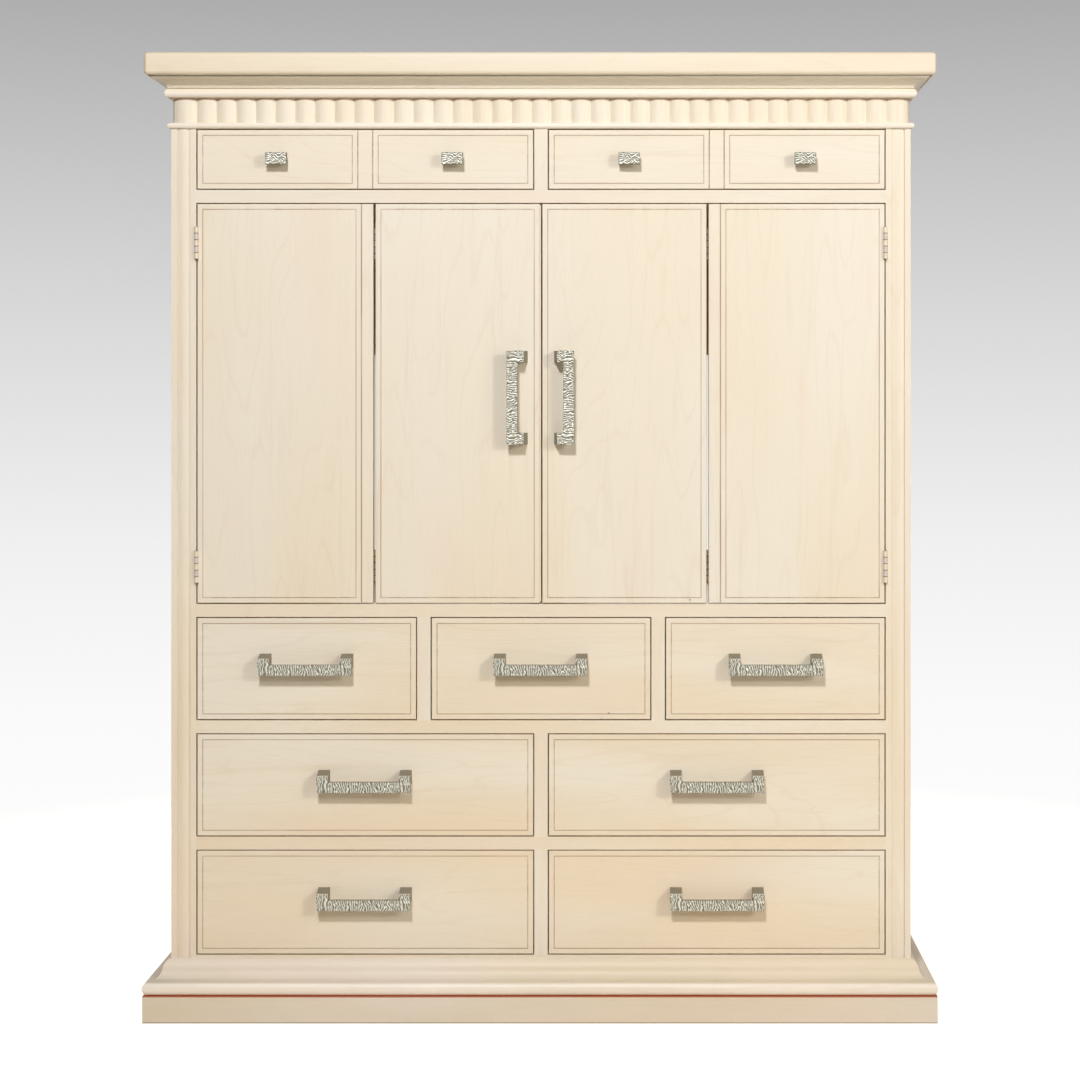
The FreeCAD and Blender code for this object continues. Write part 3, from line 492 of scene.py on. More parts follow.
def clearWood(name, grain, pale, dark, offset):
    # Bare wood with arched figure.
    finish = Finish(name)
    wood = finish.grained(grain, offset, plainWood["patterns"])
    count, bend = plainWood["rings"]
    rings = finish.maths("SINE", wood.figure * count + wood.drift * bend)
    ringed = finish.step(rings, *plainWood["ringBand"]) * plainWood["ringShare"]
    fibrous = finish.step(wood.fibres, *plainWood["fibreBand"]) * plainWood["fibreShare"]
    relief = wood.fibres + rings * 0.2
    return finish.surface({
        "Base Color": finish.mix(ringed + fibrous, pale, dark), "Roughness": 0.5 + wood.drift * 0.15,
        "Normal": finish.bump(relief, *plainWood["relief"])})


insideWood = clearWood("insideWood", "x", plainWood["insidePale"], plainWood["insideDark"], 3.0)
backWood = clearWood("backWood", "z", plainWood["insidePale"], plainWood["insideDark"], 29.0)
guideWood = clearWood("guideWood", "y", plainWood["insidePale"], plainWood["insideDark"], 41.0)
boxWood = clearWood("boxWood", "y", plainWood["drawerPale"], plainWood["drawerDark"], 53.0)
print("wood finishes ready")


# Metal and plastic finishes

# A pattern of a metal is how often it changes in a metre along each axis, then
# its offset and its detail. A relief is the bump's strength and its depth.
cast = {
    "grit": ((900, 900, 900), 5.0, 2.0),
    "haze": ((90, 90, 90), 8.0, 3.0),
    "silver": shade(214, 215, 205),
    "patina": shade(126, 120, 101),
    "edge": shade(150, 142, 124),
    # The heights on the relief between which the patina is rubbed off, and the
    # band below them for the smooth faces, whose mark is under 0.
    "shineBand": (0.24, 0.85),
    "shineGrit": 0.25,
    "smoothBand": (-0.1, -0.6),
    "relief": (0.35, 0.3 * mm),
}
zincs = {
    "spangles": ((420, 420, 420), 1.0, 2.0),
    "scratches": ((60, 900, 900), 9.0, 2.0),
    "white": shade(186, 190, 192),
    "brassy": shade(198, 186, 150),
    "spangle": shade(132, 134, 136),
    "spangleShare": 0.5,
    "relief": (0.15, 0.1 * mm),
}
moulded = {
    "grain": ((2200, 2200, 2200), 3.0, 2.0),
    "haze": ((60, 60, 60), 7.0, 3.0),
    "dark": shade(92, 66, 46),
    "light": shade(116, 88, 64),
    "lightShare": 0.4,
    "relief": (0.25, 0.15 * mm),
}
dirtTone = shade(96, 76, 62)
painted = {
    "patches": ((160, 160, 90), 2.0, 3.0),
    "paint": shade(232, 219, 198),
    "bare": shade(212, 200, 198),
    "bareShare": 0.85,
    "dirt": (dirtTone, (0.6, 0.8), 0.4),
    # Painted shade: dark rings where the knuckles meet.
    "ring": (dirtTone, (0.4, 0.47), 0.9),
    # The lower hinges' foot, how far the upper ones are above them, a height
    # between the two, and the length of a knuckle.
    "foot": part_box("case_hinge_leaves")[0].z,
    "rise": 0.641,
    "between": 1.2,
    "knuckle": 12.8 * mm,
    "relief": (0.2, 0.2 * mm),
}


def castSilver():
    # Rough cast metal, rubbed bright on its ridges and smoother on its legs.
    finish = Finish("castSilver")
    ridge = finish.node("ShaderNodeAttribute", {"attribute_name": "ridge"}, out="Fac")
    grit, haze = finish.clouds(*cast["grit"]), finish.clouds(*cast["haze"])
    shine = finish.step(ridge + (grit - 0.5) * cast["shineGrit"], *cast["shineBand"])
    colour = finish.mix(shine, cast["patina"], cast["silver"])
    smooth = finish.step(ridge, *cast["smoothBand"])
    colour = finish.mix(smooth, colour, finish.mix(haze, cast["edge"], cast["patina"]))
    rough = 0.62 - shine * 0.3 + grit * 0.1 - smooth * 0.15
    return finish.surface({"Base Color": colour, "Metallic": 0.35 + shine * 0.3, "Roughness": rough,
                           "Normal": finish.bump(grit, *cast["relief"])})


def paintedSteel():
    # Hinge metal painted with the case, with painted shade as dark rings where
    # the knuckles part, and the paint worn off every second one.
    finish = Finish("paintedSteel")
    patches = finish.clouds(*painted["patches"])
    upper = finish.maths("GREATER_THAN", finish.z, painted["between"])
    turns = (finish.z - painted["foot"] - painted["rise"] * upper) / painted["knuckle"]
    bare = finish.maths("GREATER_THAN", finish.maths("FRACT", turns / 2), 0.5)
    near = abs(finish.maths("FRACT", turns) - 0.5)
    colour = finish.mix(bare * painted["bareShare"], painted["paint"], painted["bare"])
    colour = finish.lay(colour, patches, painted["dirt"])
    colour = finish.lay(colour, near, painted["ring"])
    return finish.surface({"Base Color": colour, "Metallic": 0.15, "Roughness": 0.4 + patches * 0.2,
                           "Normal": finish.bump(patches, *painted["relief"])})


def zincSteel(name, colour):
    finish = Finish(name)
    spangles, scratches = finish.clouds(*zincs["spangles"]), finish.clouds(*zincs["scratches"])
    tone = finish.mix(spangles * zincs["spangleShare"], colour, zincs["spangle"])
    return finish.surface({"Base Color": tone, "Metallic": 0.9, "Roughness": 0.3 + scratches * 0.25,
                           "Normal": finish.bump(scratches, *zincs["relief"])})


def mouldedPlastic():
    finish = Finish("mouldedPlastic")
    grain, haze = finish.clouds(*moulded["grain"]), finish.clouds(*moulded["haze"])
    colour = finish.mix(haze * moulded["lightShare"], moulded["dark"], moulded["light"])
    return finish.surface({"Base Color": colour, "Roughness": 0.38 + haze * 0.2,
                           "Normal": finish.bump(grain, *moulded["relief"])})


silver = castSilver()
hingePaint = paintedSteel()
zinc = zincSteel("zincSteel", zincs["white"])
brassyZinc = zincSteel("screwZinc", zincs["brassy"])
plastic = mouldedPlastic()
print("metal finishes ready")


# Making pieces

def addPiece(mesh, name, body, slotName, *replaced):
    piece = bpy.data.objects.new(name, mesh)
    sceneObjects.link(piece)
    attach(piece, body)
    if replaced:
        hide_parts(*replaced)


def crisp(shape, degrees=creases["board"]):
    # Smooth faces, with the edges that turn further than the limit kept sharp.
    limit = math.radians(degrees)
    for face in shape.faces:
        face.smooth = True
    for edge in shape.edges:
        edge.smooth = len(edge.link_faces) == 2 and edge.calc_face_angle() < limit


def mergedCopy(node):
    # A CAD node's solids as whole faces, ready for smooth shading.
    shape = bmesh.new()
    shape.from_mesh(nodes[node].data)
    bmesh.ops.remove_doubles(shape, verts=shape.verts, dist=weld)
    crisp(shape)
    return shape


def meshFrom(shape, name, *materials):
    mesh = bpy.data.meshes.new(name)
    shape.to_mesh(mesh)
    shape.free()
    for material in materials:
        mesh.materials.append(material)
    return mesh


def smoothNode(node, name, body, *materials, pick=None):
    # Stands for a wooden CAD node with the same shape, shaded smoothly. pick
    # gives the number of a face's material.
    shape = mergedCopy(node)
    if pick:
        for face in shape.faces:
            face.material_index = pick(face)
    addPiece(meshFrom(shape, name, *materials), name, body, "pickled_wood", node)


# Mouldings: profiles run outwards and upwards from the case, in millimetres.

case = {
    "half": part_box("side_panel_right")[1].x,
    "front": frontFace,
    "back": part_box("side_panel_right")[1].y,
    "stile": 49.5 * mm,
    "frieze": (1.771, 1.819),
    "recess": 6 * mm,
    "friezeBoard": 22 * mm,
    "rearBoard": 19 * mm,
    # Faces of the plinth further out than this belong to its sides.
    "plinthReturn": 0.73,
    "topBottom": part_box("top_board")[0].z,
}
mouldings = {
    # Each profile's bead is made paler between two heights, by the share pale: partly a rubbed finish,
    # partly a painted highlight.
    "cornice": {
        "foot": 1.819, "inner": 28, "stain": 0.1, "rubAndHighlight": (3, 12), "pale": 0.8,
        "path": [(3, 0), ("bulge", (3, 19.5), 8), (6, 20.5), ("bulge", (27, 36.5), -4.5),
                 (33, 37.5), (33, 41)],
    },
    "astragal": {
        "foot": 1.759, "inner": 0, "stain": 0.0, "rubAndHighlight": (2, 11), "pale": 0.7,
        "path": [(1.5, 0), ("bulge", (1.5, 12), 5)],
    },
    "base": {
        "foot": 0.053, "inner": 0, "stain": 0.5, "rubAndHighlight": (3, 25), "pale": 1.0,
        "path": [(41, 0), (44, 3), ("bulge", (48, 14.75), 1.03), ("bulge", (36, 26.5), 3.53), (30, 27.5),
                 ("bulge", (15, 42.5), -2.6), ("bulge", (5, 62), 2.2), (0, 64.5)],
    },
    "arcSteps": 12,
    # Stain lies in corners sharper than this many degrees, up to this far from
    # them or this share of the way to the next point.
    "stainTurn": 25,
    "stainReach": 1.3,
    "stainShare": 0.6,
}


def arcThrough(begin, end, sag, steps):
    # Points after begin on the arc to end that bows out by sag to its right side.
    first, last = Vector(begin), Vector(end)
    chord = last - first
    side = Vector((chord.y, -chord.x)).normalized()
    along = chord.normalized()
    radius = (chord.length_squared / 4 + sag * sag) / (2 * abs(sag))
    toMiddle = radius - abs(sag)
    half = math.asin(min(1.0, chord.length / 2 / radius))
    points = []
    for step in range(1, steps + 1):
        turn = half * (2 * step / steps - 1)
        rise = math.copysign(radius * math.cos(turn) - toMiddle, sag)
        points.append(tuple((first + last) / 2 + side * rise + along * radius * math.sin(turn)))
    return points


def profilePoints(path, steps):
    points = [path[0]]
    for item in path[1:]:
        if item[0] == "bulge":
            points += arcThrough(points[-1], item[1], item[2], steps)
        else:
            points.append(item)
    return points


def stainedProfile(points, sizes):
    # Adds a point just before and after each inner corner. Gives each point its
    # stain, which is below 0 on the bead, where the finish is rubbed pale and a
    # highlight is painted.
    lowest, highest = sizes["rubAndHighlight"]
    reach, share = mouldings["stainReach"], mouldings["stainShare"]

    def plain(point):
        return -sizes["pale"] if lowest <= point[1] <= highest else 0.0

    result = [(points[0], 0.0)]
    for before, corner, after in zip(points, points[1:], points[2:]):
        here = Vector(corner)
        back, ahead = Vector(before) - here, Vector(after) - here
        bend = math.degrees((-back).angle_signed(ahead))
        if bend > mouldings["stainTurn"]:
            result.append((tuple(here + back.normalized() * min(reach, back.length * share)), 0.0))
            result.append((corner, sizes["stain"]))
            result.append((tuple(here + ahead.normalized() * min(reach, ahead.length * share)), 0.0))
        else:
            result.append((corner, plain(corner)))
    result.append((points[-1], 0.0))
    return result


def sweptMoulding(name, node, sizes):
    points = profilePoints(sizes["path"], mouldings["arcSteps"])
    outline = stainedProfile(points, sizes)
    top, foot = outline[-1][0][1], outline[0][0][1]
    outline += [((-sizes["inner"], top), 0.0), ((-sizes["inner"], foot), 0.0)]
    shape = bmesh.new()
    glaze = shape.verts.layers.float.new("glaze")
    rings = []
    for (out, up), stain in outline:
        wide, front, z = case["half"] + out * mm, case["front"] - out * mm, sizes["foot"] + up * mm
        ring = [shape.verts.new(place) for place in
                ((-wide, case["back"], z), (-wide, front, z), (wide, front, z), (wide, case["back"], z))]
        for vert in ring:
            vert[glaze] = stain
        rings.append(ring)
    for lower, upper in zip(rings, rings[1:] + rings[:1]):
        for a in range(3):
            face = shape.faces.new((lower[a], lower[a + 1], upper[a + 1], upper[a]))
            face.material_index = 0 if a == 1 else 1
    for station in (0, 3):
        shape.faces.new([ring[station] for ring in rings]).material_index = 1
    bmesh.ops.recalc_face_normals(shape, faces=shape.faces)
    crisp(shape, creases["moulding"])
    addPiece(meshFrom(shape, name, trimWood, returnWood), name, "carcass", "pickled_wood", node)


sweptMoulding("corniceTrim", "cornice_moulding", mouldings["cornice"])
sweptMoulding("astragalTrim", "astragal_moulding", mouldings["astragal"])
sweptMoulding("baseTrim", "base_moulding", mouldings["base"])
print("mouldings ready")


# Frieze: boards with convex reeds, which a node tree lays out.

frieze = {
    "rise": 7 * mm,
    "quirk": 1.4 * mm,
    "count": 35,
    "sideCount": 13,
    "facets": 14,
    # The stain in the grooves: its strength, and where it lies before the board.
    "quirkStain": 0.3,
    "quirkReach": (-1 * mm, 0.4 * mm),
}


def openTree(name, inputs):
    tree = bpy.data.node_groups.new(name, "GeometryNodeTree")
    bench = Bench(tree)
    for label, kind in inputs.items():
        tree.interface.new_socket(label, in_out="INPUT", socket_type="NodeSocket" + kind)
    tree.interface.new_socket("Geometry", in_out="OUTPUT", socket_type="NodeSocketGeometry")
    start = bench.node("NodeGroupInput")
    return bench, start


def closeTree(bench, instances, material):
    whole = bench.node("GeometryNodeRealizeInstances", values={"Geometry": instances})
    dressed = bench.node("GeometryNodeSetMaterial", values={"Geometry": whole, "Material": material})
    bench.node("NodeGroupOutput", values={"Geometry": dressed})


def grow(tree, values, seed=None):
    # Runs a node tree once on a mesh and gives the result as a plain mesh.
    holder = bpy.data.objects.new("seedling", seed or bpy.data.meshes.new("seedling"))
    sceneObjects.link(holder)
    modifier = holder.modifiers.new("grow", "NODES")
    modifier.node_group = tree
    for item in tree.interface.items_tree:
        if item.in_out == "INPUT" and item.name in values:
            modifier[item.identifier] = values[item.name]
    evaluated = holder.evaluated_get(bpy.context.evaluated_depsgraph_get())
    mesh = bpy.data.meshes.new_from_object(evaluated)
    holder.modifiers.clear()
    bpy.data.objects.remove(holder)
    return mesh


def reedTree():
    # A row of upright reeds along +X from the origin, each a bowed strip that
    # swells towards -Y.
    bench, start = openTree("reedRow", {
        "Count": "Int", "Pitch": "Float", "Quirk": "Float", "Rise": "Float", "Height": "Float",
        "Facets": "Int", "Material": "Material"})
    pitch, quirk, rise = start.output("Pitch"), start.output("Quirk"), start.output("Rise")

    def point(x, y, z=0.0):
        return bench.node("ShaderNodeCombineXYZ", values={"X": x, "Y": y, "Z": z})

    width = pitch - quirk
    bow = bench.node("GeometryNodeCurveArc", {"mode": "POINTS"}, {
        "Resolution": start.output("Facets"), "Start": point(quirk * 0.5, 0.0),
        "Middle": point(pitch * 0.5, 0.0 - rise), "End": point(quirk * 0.5 + width, 0.0)})
    loop = bench.node("GeometryNodeSetSplineCyclic", values={"Geometry": bow, "Cyclic": True})
    strip = bench.node("GeometryNodeFillCurve", {"mode": "NGONS"}, {"Curve": loop})
    raised = bench.node("GeometryNodeExtrudeMesh", {"mode": "FACES"}, {
        "Mesh": strip, "Offset": point(0.0, 0.0, 1.0), "Offset Scale": start.output("Height"),
        "Individual": False})
    both = bench.node("GeometryNodeJoinGeometry")
    for part in (strip, raised):
        bench.tree.links.new(part.socket, both.socket.node.inputs[0])
    line = bench.node("GeometryNodeMeshLine", {"mode": "OFFSET"}, {
        "Count": start.output("Count"), "Offset": point(pitch, 0.0)})
    reeds = bench.node("GeometryNodeInstanceOnPoints", values={"Points": line, "Instance": both})
    closeTree(bench, reeds, start.output("Material"))
    return bench.tree


def absorb(shape, mesh, place=None):
    # Adds a mesh to a shape, moved by a matrix.
    if place:
        mesh.transform(place)
    shape.from_mesh(mesh)
    bpy.data.meshes.remove(mesh)


def addBoard(shape, lowest, highest):
    for vert in bmesh.ops.create_cube(shape, size=1.0)["verts"]:
        vert.co = Vector(low if c < 0 else high for c, low, high in zip(vert.co, lowest, highest))


def friezeBoards(shape, wide, front):
    (foot, head), back, board = case["frieze"], case["back"], case["friezeBoard"]
    inner = wide - board
    addBoard(shape, (-wide, front, foot), (wide, front + board, head))
    for left, right in ((-wide, -inner), (inner, wide)):
        addBoard(shape, (left, front + board, foot), (right, back, head))
    addBoard(shape, (-inner, back - case["rearBoard"], foot), (inner, back, case["topBottom"]))


def reedRows(wide, front):
    # Each row's turn, where it starts, how many reeds it has and their pitch.
    # One wide reed stands above each stile and at the front of each side.
    opening = 2 * (case["half"] - case["stile"])
    sideStart = case["front"] + case["stile"]
    sideRun = case["back"] - sideStart
    corner = case["stile"] - case["recess"]
    count, sideCount, quarter = frieze["count"], frieze["sideCount"], math.pi / 2
    return [
        (0.0, (-opening / 2, front), count, opening / count),
        (0.0, (-wide, front), 1, corner),
        (0.0, (opening / 2, front), 1, corner),
        (quarter, (wide, sideStart), sideCount, sideRun / sideCount),
        (quarter, (wide, front), 1, corner),
        (-quarter, (-wide, case["back"]), sideCount, sideRun / sideCount),
        (-quarter, (-wide, sideStart), 1, corner),
    ]


def reededFrieze():
    tree = reedTree()
    foot, head = case["frieze"]
    wide, front = case["half"] - case["recess"], case["front"] + case["recess"]
    shape = bmesh.new()
    friezeBoards(shape, wide, front)
    for turn, (x, y), count, pitch in reedRows(wide, front):
        mesh = grow(tree, {"Count": count, "Pitch": pitch, "Quirk": frieze["quirk"], "Rise": frieze["rise"],
                           "Height": head - foot, "Facets": frieze["facets"], "Material": reedWood})
        absorb(shape, mesh, Matrix.Translation((x, y, foot)) @ Matrix.Rotation(turn, 4, "Z"))
    bmesh.ops.remove_doubles(shape, verts=shape.verts, dist=weld)
    bmesh.ops.recalc_face_normals(shape, faces=shape.faces)
    glaze = shape.verts.layers.float.new("glaze")
    low, high = frieze["quirkReach"]
    for vert in shape.verts:
        outside = max(abs(vert.co.x) - wide, front - vert.co.y)
        vert[glaze] = frieze["quirkStain"] if low < outside < high else 0.0
    crisp(shape, creases["reed"])
    mesh = meshFrom(shape, "reededFrieze", reedWood)
    addPiece(mesh, "reededFrieze", "carcass", "pickled_wood", "reeded_frieze")


reededFrieze()
print("frieze ready")


# Case boards and fronts

rowFronts = ("drawer_front_lower_left", "drawer_front_middle_left", "drawer_front_upper_left",
             "door_left_outer", "drawer_front_top_left")
rows = [tuple(corner.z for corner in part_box(node)) for node in rowFronts]


def uprightInFrame(face):
    # Faces at the height of a row of fronts belong to the frame's uprights.
    height = face.calc_center_median().z
    return 1 if any(low < height < high for low, high in rows) else 0


def sideOfPlinth(face):
    return 1 if abs(face.calc_center_median().x) > case["plinthReturn"] else 0


smoothNode("face_frame", "faceFrame", "carcass", railWood, mullionWood, pick=uprightInFrame)
smoothNode("pilaster_left", "pilasterLeft", "carcass", stileWood)
smoothNode("pilaster_right", "pilasterRight", "carcass", stileWood)
smoothNode("top_board", "topBoard", "carcass", topWood)
smoothNode("plinth", "plinthBoards", "carcass", trimWood, returnWood, pick=sideOfPlinth)

for body, members in bodies.items():
    for node in members:
        if node.startswith("drawer_front_"):
            smoothNode(node, node.replace("drawer_front", "front"), body, frontWood)
        elif node == body:
            smoothNode(node, "leaf_" + node, body, doorWood)

# A strip let into the meeting edge of the left pair, which closes the gap.
meetingStrip = {
    "width": 2.3 * mm,
    "depth": (1.8 * mm, 9.0 * mm),
    "bead": 0.5 * mm,
}


def addMeetingStrip(sizes):
    lowest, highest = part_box("door_left_inner")
    front, back = (frontFace + depth for depth in sizes["depth"])
    shape = bmesh.new()
    addBoard(shape, (highest.x - sizes["bead"], front, lowest.z + sizes["width"]),
             (highest.x + sizes["width"], back, highest.z - sizes["width"]))
    bmesh.ops.bevel(shape, geom=list(shape.edges), offset=sizes["bead"], segments=2, affect="EDGES")
    crisp(shape)
    mesh = meshFrom(shape, "meetingStrip", mullionWood)
    addPiece(mesh, "meetingStrip", "door_left_inner", "pickled_wood")


addMeetingStrip(meetingStrip)


# The back panel with its screws, whose heads stand a little proud of it.
backScrews = {
    # Each ring of a head: its radius, its height, and how far it is drawn in
    # between the arms of the cross.
    "rings": ((4.2, 0.0, 0.0), (3.8, 0.32, 0.0), (2.6, 0.46, 0.0), (2.2, 0.42, 0.6), (1.7, 0.08, 0.6)),
    "steps": 16,
    "sink": 0.5 * mm,
    "edge": 32 * mm,
    "across": 8,
}


def screwHead(sizes):
    # A shallow dome towards +Y, with a cross recess.
    shape = bmesh.new()
    rings = []
    for radius, height, drawn in sizes["rings"]:
        ring = []
        for step in range(sizes["steps"]):
            turn = math.tau * step / sizes["steps"]
            reach = radius * (1 - drawn * abs(math.sin(2 * turn)))
            place = (reach * math.cos(turn), height, reach * math.sin(turn))
            ring.append(shape.verts.new(Vector(place) * mm))
        rings.append(ring)
    for outer, inner in zip(rings, rings[1:]):
        for a in range(sizes["steps"]):
            b = (a + 1) % sizes["steps"]
            shape.faces.new((outer[a], outer[b], inner[b], inner[a]))
    shape.faces.new(rings[-1])
    shape.faces.new(rings[0])
    bmesh.ops.recalc_face_normals(shape, faces=shape.faces)
    crisp(shape, creases["screw"])
    return meshFrom(shape, "screwHead")


def screwTree():
    # Copies of the head along a straight row.
    bench, start = openTree("screwRow", {
        "Head": "Geometry", "Count": "Int", "Pitch": "Vector", "Material": "Material"})
    line = bench.node("GeometryNodeMeshLine", {"mode": "OFFSET"}, {
        "Count": start.output("Count"), "Offset": start.output("Pitch")})
    heads = bench.node("GeometryNodeInstanceOnPoints", values={
        "Points": line, "Instance": start.output("Head")})
    closeTree(bench, heads, start.output("Material"))
    return bench.tree


def backPanel(sizes):
    lowest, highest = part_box("back_panel")
    face = highest.y - sizes["sink"]
    shape = mergedCopy("back_panel")
    for vert in shape.verts:
        vert.co.y = min(vert.co.y, face)
    mesh = meshFrom(shape, "backPanel", backWood)
    addPiece(mesh, "backPanel", "carcass", "interior_wood", "back_panel")
    # Rows of screws in the edges of four of the boards that the panel covers.
    panels, floor, ceiling = (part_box(node) for node in ("dust_panels", "bay_floor", "bay_ceiling"))
    half = (floor[1].z - floor[0].z) / 2
    run = (highest.x - lowest.x - 2 * sizes["edge"]) / (sizes["across"] - 1)
    tree, head, screws = screwTree(), screwHead(sizes), bmesh.new()
    for z in (panels[0].z + half, panels[1].z - half, floor[0].z + half, ceiling[0].z + half):
        row = grow(tree, {"Count": sizes["across"], "Pitch": (run, 0.0, 0.0), "Material": brassyZinc}, head)
        absorb(screws, row, Matrix.Translation((lowest.x + sizes["edge"], face, z)))
    addPiece(meshFrom(screws, "backScrews", brassyZinc), "backScrews", "carcass", "strike_steel")


backPanel(backScrews)

# Nodes that are shown as they are, by the start of their names.
finishes = {
    "side_panel": sideWood,
    "bay_": insideWood,
    "dust_panels": insideWood,
    "drawer_guides": guideWood,
    "drawer_box": boxWood,
    "case_hinge": hingePaint,
    "door_hinge": hingePaint,
    "fold_hinge": hingePaint,
    "strike_plate": zinc,
    "door_catches": plastic,
}
for node, holder in nodes.items():
    for start, material in finishes.items():
        if node.startswith(start):
            holder.data.materials.clear()
            holder.data.materials.append(material)
print("boards ready")


# Cast pulls and knobs, in millimetres

pulls = {
    "length": 185.0,
    "bar": 21.5,
    "front": 33.0,
    "thick": 9.0,
    "armWidth": 23.0,
    "armRise": 12.0,
    "legHeight": 20.0,
    "legSlope": 7.0,
    "cell": 0.7,
    "seed": 4.0,
    # How far a leg's head reaches into the plate.
    "bite": 2,
}
knobs = {
    "width": 42.0,
    "height": 23.0,
    "front": 26.0,
    "thick": 12.0,
    "stem": 13.0,
    "cell": 0.9,
    "seed": 11.0,
    "bite": 1,
}
# The bark relief, whose heights run from 0 to 1 over its depth.
bark = {
    "depth": 1.6,
    "pitch": 4.4,
    # The lengths across and along over which the ridges drift and the grit
    # changes, and how much each counts.
    "drift": (15, 10, 1.3),
    "grit": (2.2, 5, 0.6),
    "gritSeed": 3,
    "wave": (0.2, 0.72),
    # How far the edges are broken back, how much height they keep, and the
    # heights that stand for the rear and for smooth faces.
    "brokenEdge": 0.9,
    "edgeHeight": 0.55,
    "rearHeight": 0.42,
    "smoothMark": -1.0,
}
legs = {
    "steps": 6,
    "taper": 0.3,
}


def barkHeight(across, along, seed):
    # Wavy parallel ridges that fork and fade, 0 in a crease to 1 on a crest.
    wide, long, share = bark["drift"]
    drift = noise.noise(Vector((across / wide, along / long, seed))) * share
    wave = 0.5 + 0.5 * math.cos(math.tau * (across / bark["pitch"] + drift))
    wide, long, share = bark["grit"]
    grit = noise.noise(Vector((across / wide, along / long, seed + bark["gritSeed"]))) * share
    least, swing = bark["wave"]
    return min(1.0, max(0.0, wave * swing + least + grit))


def plateBorder(cells):
    # The corners of the cells that have no neighbour on some side.
    border = set()
    for i, k in cells:
        for side in (0, 1):
            if (i + 2 * side - 1, k) not in cells:
                border.update({(i + side, k), (i + side, k + 1)})
            if (i, k + 2 * side - 1) not in cells:
                border.update({(i, k + side), (i + 1, k + side)})
    return border


def castPlate(cells, cell, sizes, ridgesAlong, rubbedTop=False):
    # A plate in the xz plane made of square cells, with bark relief on its face
    # and broken edges. Returns a closed shape, in millimetres.
    shape = bmesh.new()
    ridge = shape.verts.layers.float.new("ridge")
    face, rear = {}, {}
    border = plateBorder(cells)
    topLine = max(k for i, k in cells) + 1
    for corner in {(i + a, k + b) for i, k in cells for a in (0, 1) for b in (0, 1)}:
        x, z = corner[0] * cell[0], corner[1] * cell[1]
        across, along = (z, x) if ridgesAlong == "x" else (x, z)
        height = barkHeight(across, along, sizes["seed"])
        inward = 0.0
        # Border corners sink and keep less height, so they take the darker patina, partly a painted shade
        # at the edges. With the top flag the top edge is a full crest instead, a bright silver line that is
        # partly a rubbed edge and partly a painted highlight.
        if corner in border:
            inward = bark["brokenEdge"]
            height = 1.0 if rubbedTop and corner[1] == topLine else height * bark["edgeHeight"]
        sink = (1 - height) * bark["depth"] + inward
        vert = shape.verts.new((x, sink - sizes["front"], z))
        vert[ridge] = height
        face[corner] = vert
    for corner in border:
        vert = shape.verts.new((corner[0] * cell[0], sizes["thick"] - sizes["front"], corner[1] * cell[1]))
        vert[ridge] = bark["rearHeight"]
        rear[corner] = vert
    for i, k in cells:
        corners = [(i, k), (i + 1, k), (i + 1, k + 1), (i, k + 1)]
        shape.faces.new([face[c] for c in corners])
        for a, b, step in ((0, 1, (0, -1)), (1, 2, (1, 0)), (2, 3, (0, 1)), (3, 0, (-1, 0))):
            if (i + step[0], k + step[1]) not in cells:
                shape.faces.new((face[corners[b]], face[corners[a]], rear[corners[a]], rear[corners[b]]))
    bmesh.ops.edgeloop_fill(shape, edges=[edge for edge in shape.edges if edge.is_boundary])
    return shape


def addLeg(shape, lower, upper):
    # A solid between two rectangles (x0, x1, z0, z1, y), the one on the wood first.
    ridge = shape.verts.layers.float.get("ridge")
    rings = []
    for step in range(legs["steps"] + 1):
        share = step / legs["steps"]
        x0, x1, z0, z1, y = (a + (b - a) * share for a, b in zip(lower, upper))
        ring = [shape.verts.new(p) for p in ((x0, y, z0), (x1, y, z0), (x1, y, z1), (x0, y, z1))]
        for vert in ring:
            vert[ridge] = bark["smoothMark"]
        rings.append(ring)
    for first, second in zip(rings, rings[1:]):
        for a in range(4):
            b = (a + 1) % 4
            shape.faces.new((first[a], first[b], second[b], second[a]))
    shape.faces.new(rings[0])
    shape.faces.new(rings[-1])


def closeCast(shape):
    bmesh.ops.recalc_face_normals(shape, faces=shape.faces)
    crisp(shape, creases["cast"])
    return shape


def pullShape():
    columns, barRows = round(pulls["length"] / pulls["cell"]), round(pulls["bar"] / pulls["cell"])
    wide, tall = pulls["length"] / columns, pulls["bar"] / barRows
    armRows, armColumns = round(pulls["armRise"] / tall), round(pulls["armWidth"] / wide)
    half = columns // 2
    cells = {(i - half, k - barRows // 2) for i in range(columns) for k in range(barRows + armRows)
             if k < barRows or i < armColumns or i >= columns - armColumns}
    shape = castPlate(cells, (wide, tall), pulls, "z", rubbedTop=True)
    top = (barRows - barRows // 2 + armRows) * tall
    foot = top - pulls["legHeight"]
    end, inner = pulls["length"] / 2, pulls["length"] / 2 - pulls["armWidth"]
    back, taper = pulls["front"] - pulls["thick"], legs["taper"]
    for side in (-1, 1):
        wall = sorted((side * end, side * inner))
        head = sorted((side * (end - taper), side * (inner + taper)))
        addLeg(shape, (*wall, foot, top + pulls["legSlope"], 0.0),
               (*head, foot + taper, top - taper, -back - pulls["bite"]))
    return closeCast(shape)


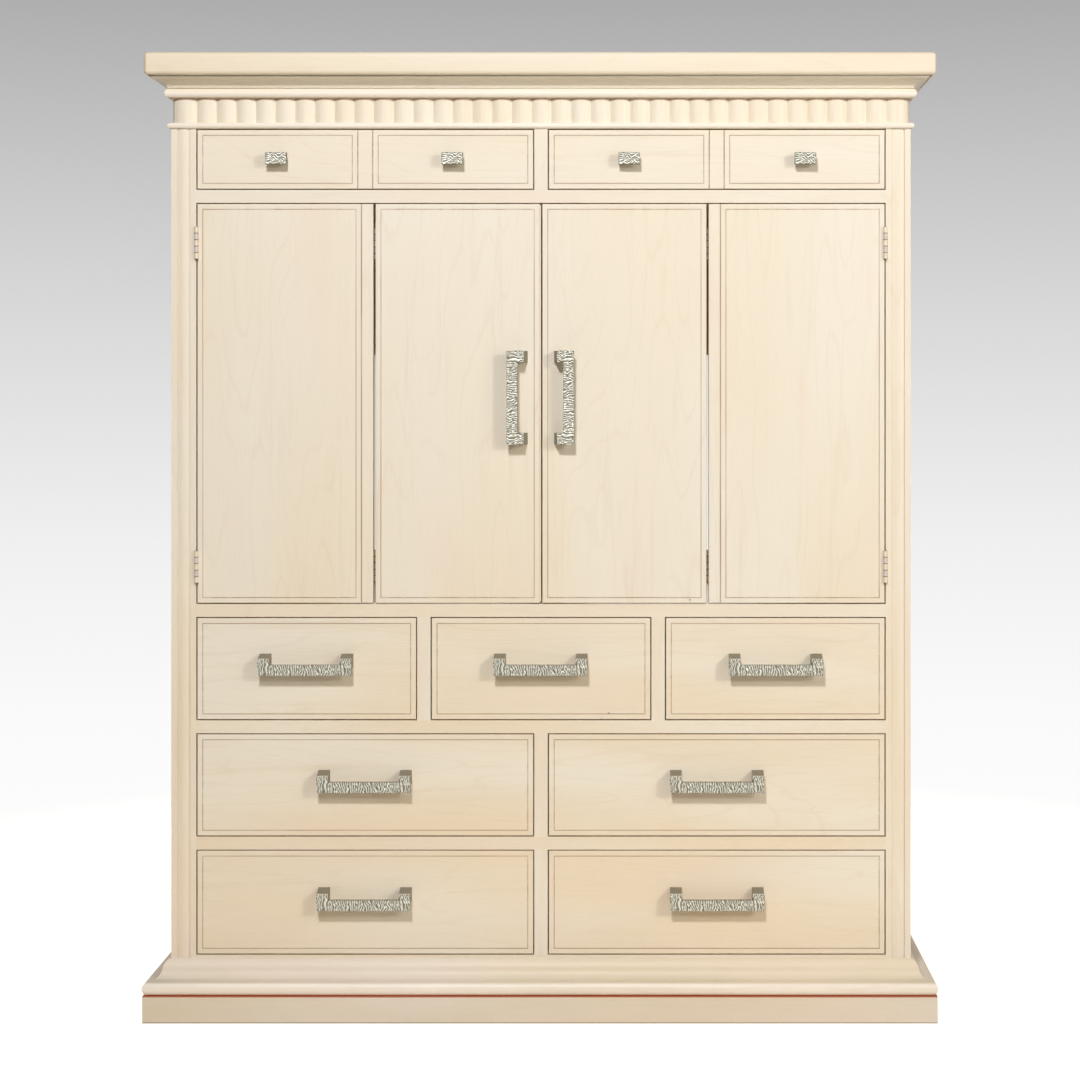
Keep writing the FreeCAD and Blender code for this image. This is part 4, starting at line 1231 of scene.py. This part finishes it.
def knobShape():
    columns, lines = round(knobs["width"] / knobs["cell"]), round(knobs["height"] / knobs["cell"])
    cell = (knobs["width"] / columns, knobs["height"] / lines)
    cells = {(i - columns // 2, k - lines // 2) for i in range(columns) for k in range(lines)}
    shape = castPlate(cells, cell, knobs, "x")
    half, back = knobs["stem"] / 2, knobs["front"] - knobs["thick"]
    thin = half - legs["taper"]
    addLeg(shape, (-half, half, -half, half, 0.0), (-thin, thin, -thin, thin, -back - knobs["bite"]))
    return closeCast(shape)


def placedCopy(mesh, place):
    # The mesh, which is in millimetres, moved to a place in metres.
    shape = bmesh.new()
    shape.from_mesh(mesh)
    bmesh.ops.transform(shape, matrix=place @ Matrix.Scale(mm, 4), verts=list(shape.verts))
    return shape


pullMesh = meshFrom(pullShape(), "pullPattern")
knobMesh = meshFrom(knobShape(), "knobPattern")


def fitPull(node, name, body):
    lowest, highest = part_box(node)
    bar = pulls["bar"] / 2 * mm
    middle = (lowest + highest) / 2
    if highest.x - lowest.x > highest.z - lowest.z:
        centre, turn = (middle.x, frontFace, lowest.z + bar), 0.0
    elif middle.x < 0:
        centre, turn = (lowest.x + bar, frontFace, middle.z), math.pi / 2
    else:
        centre, turn = (highest.x - bar, frontFace, middle.z), -math.pi / 2
    shape = placedCopy(pullMesh, Matrix.Translation(centre) @ Matrix.Rotation(turn, 4, "Y"))
    addPiece(meshFrom(shape, name, silver), name, body, "cast_pull", node)


def fitKnobs(node, name, body):
    lowest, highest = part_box(node)
    shape = bmesh.new()
    for x in (lowest.x + knobs["width"] / 2 * mm, highest.x - knobs["width"] / 2 * mm):
        centre = (x, frontFace, (lowest.z + highest.z) / 2)
        absorb(shape, meshFrom(placedCopy(knobMesh, Matrix.Translation(centre)), "knob"))
    addPiece(meshFrom(shape, name, silver), name, body, "cast_pull", node)


for body, members in bodies.items():
    for node in members:
        if "_pull_" in node:
            fitPull(node, "pull_" + body, body)
        elif node.startswith("drawer_knobs"):
            fitKnobs(node, "knobs_" + body, body)
print("pulls and knobs ready")
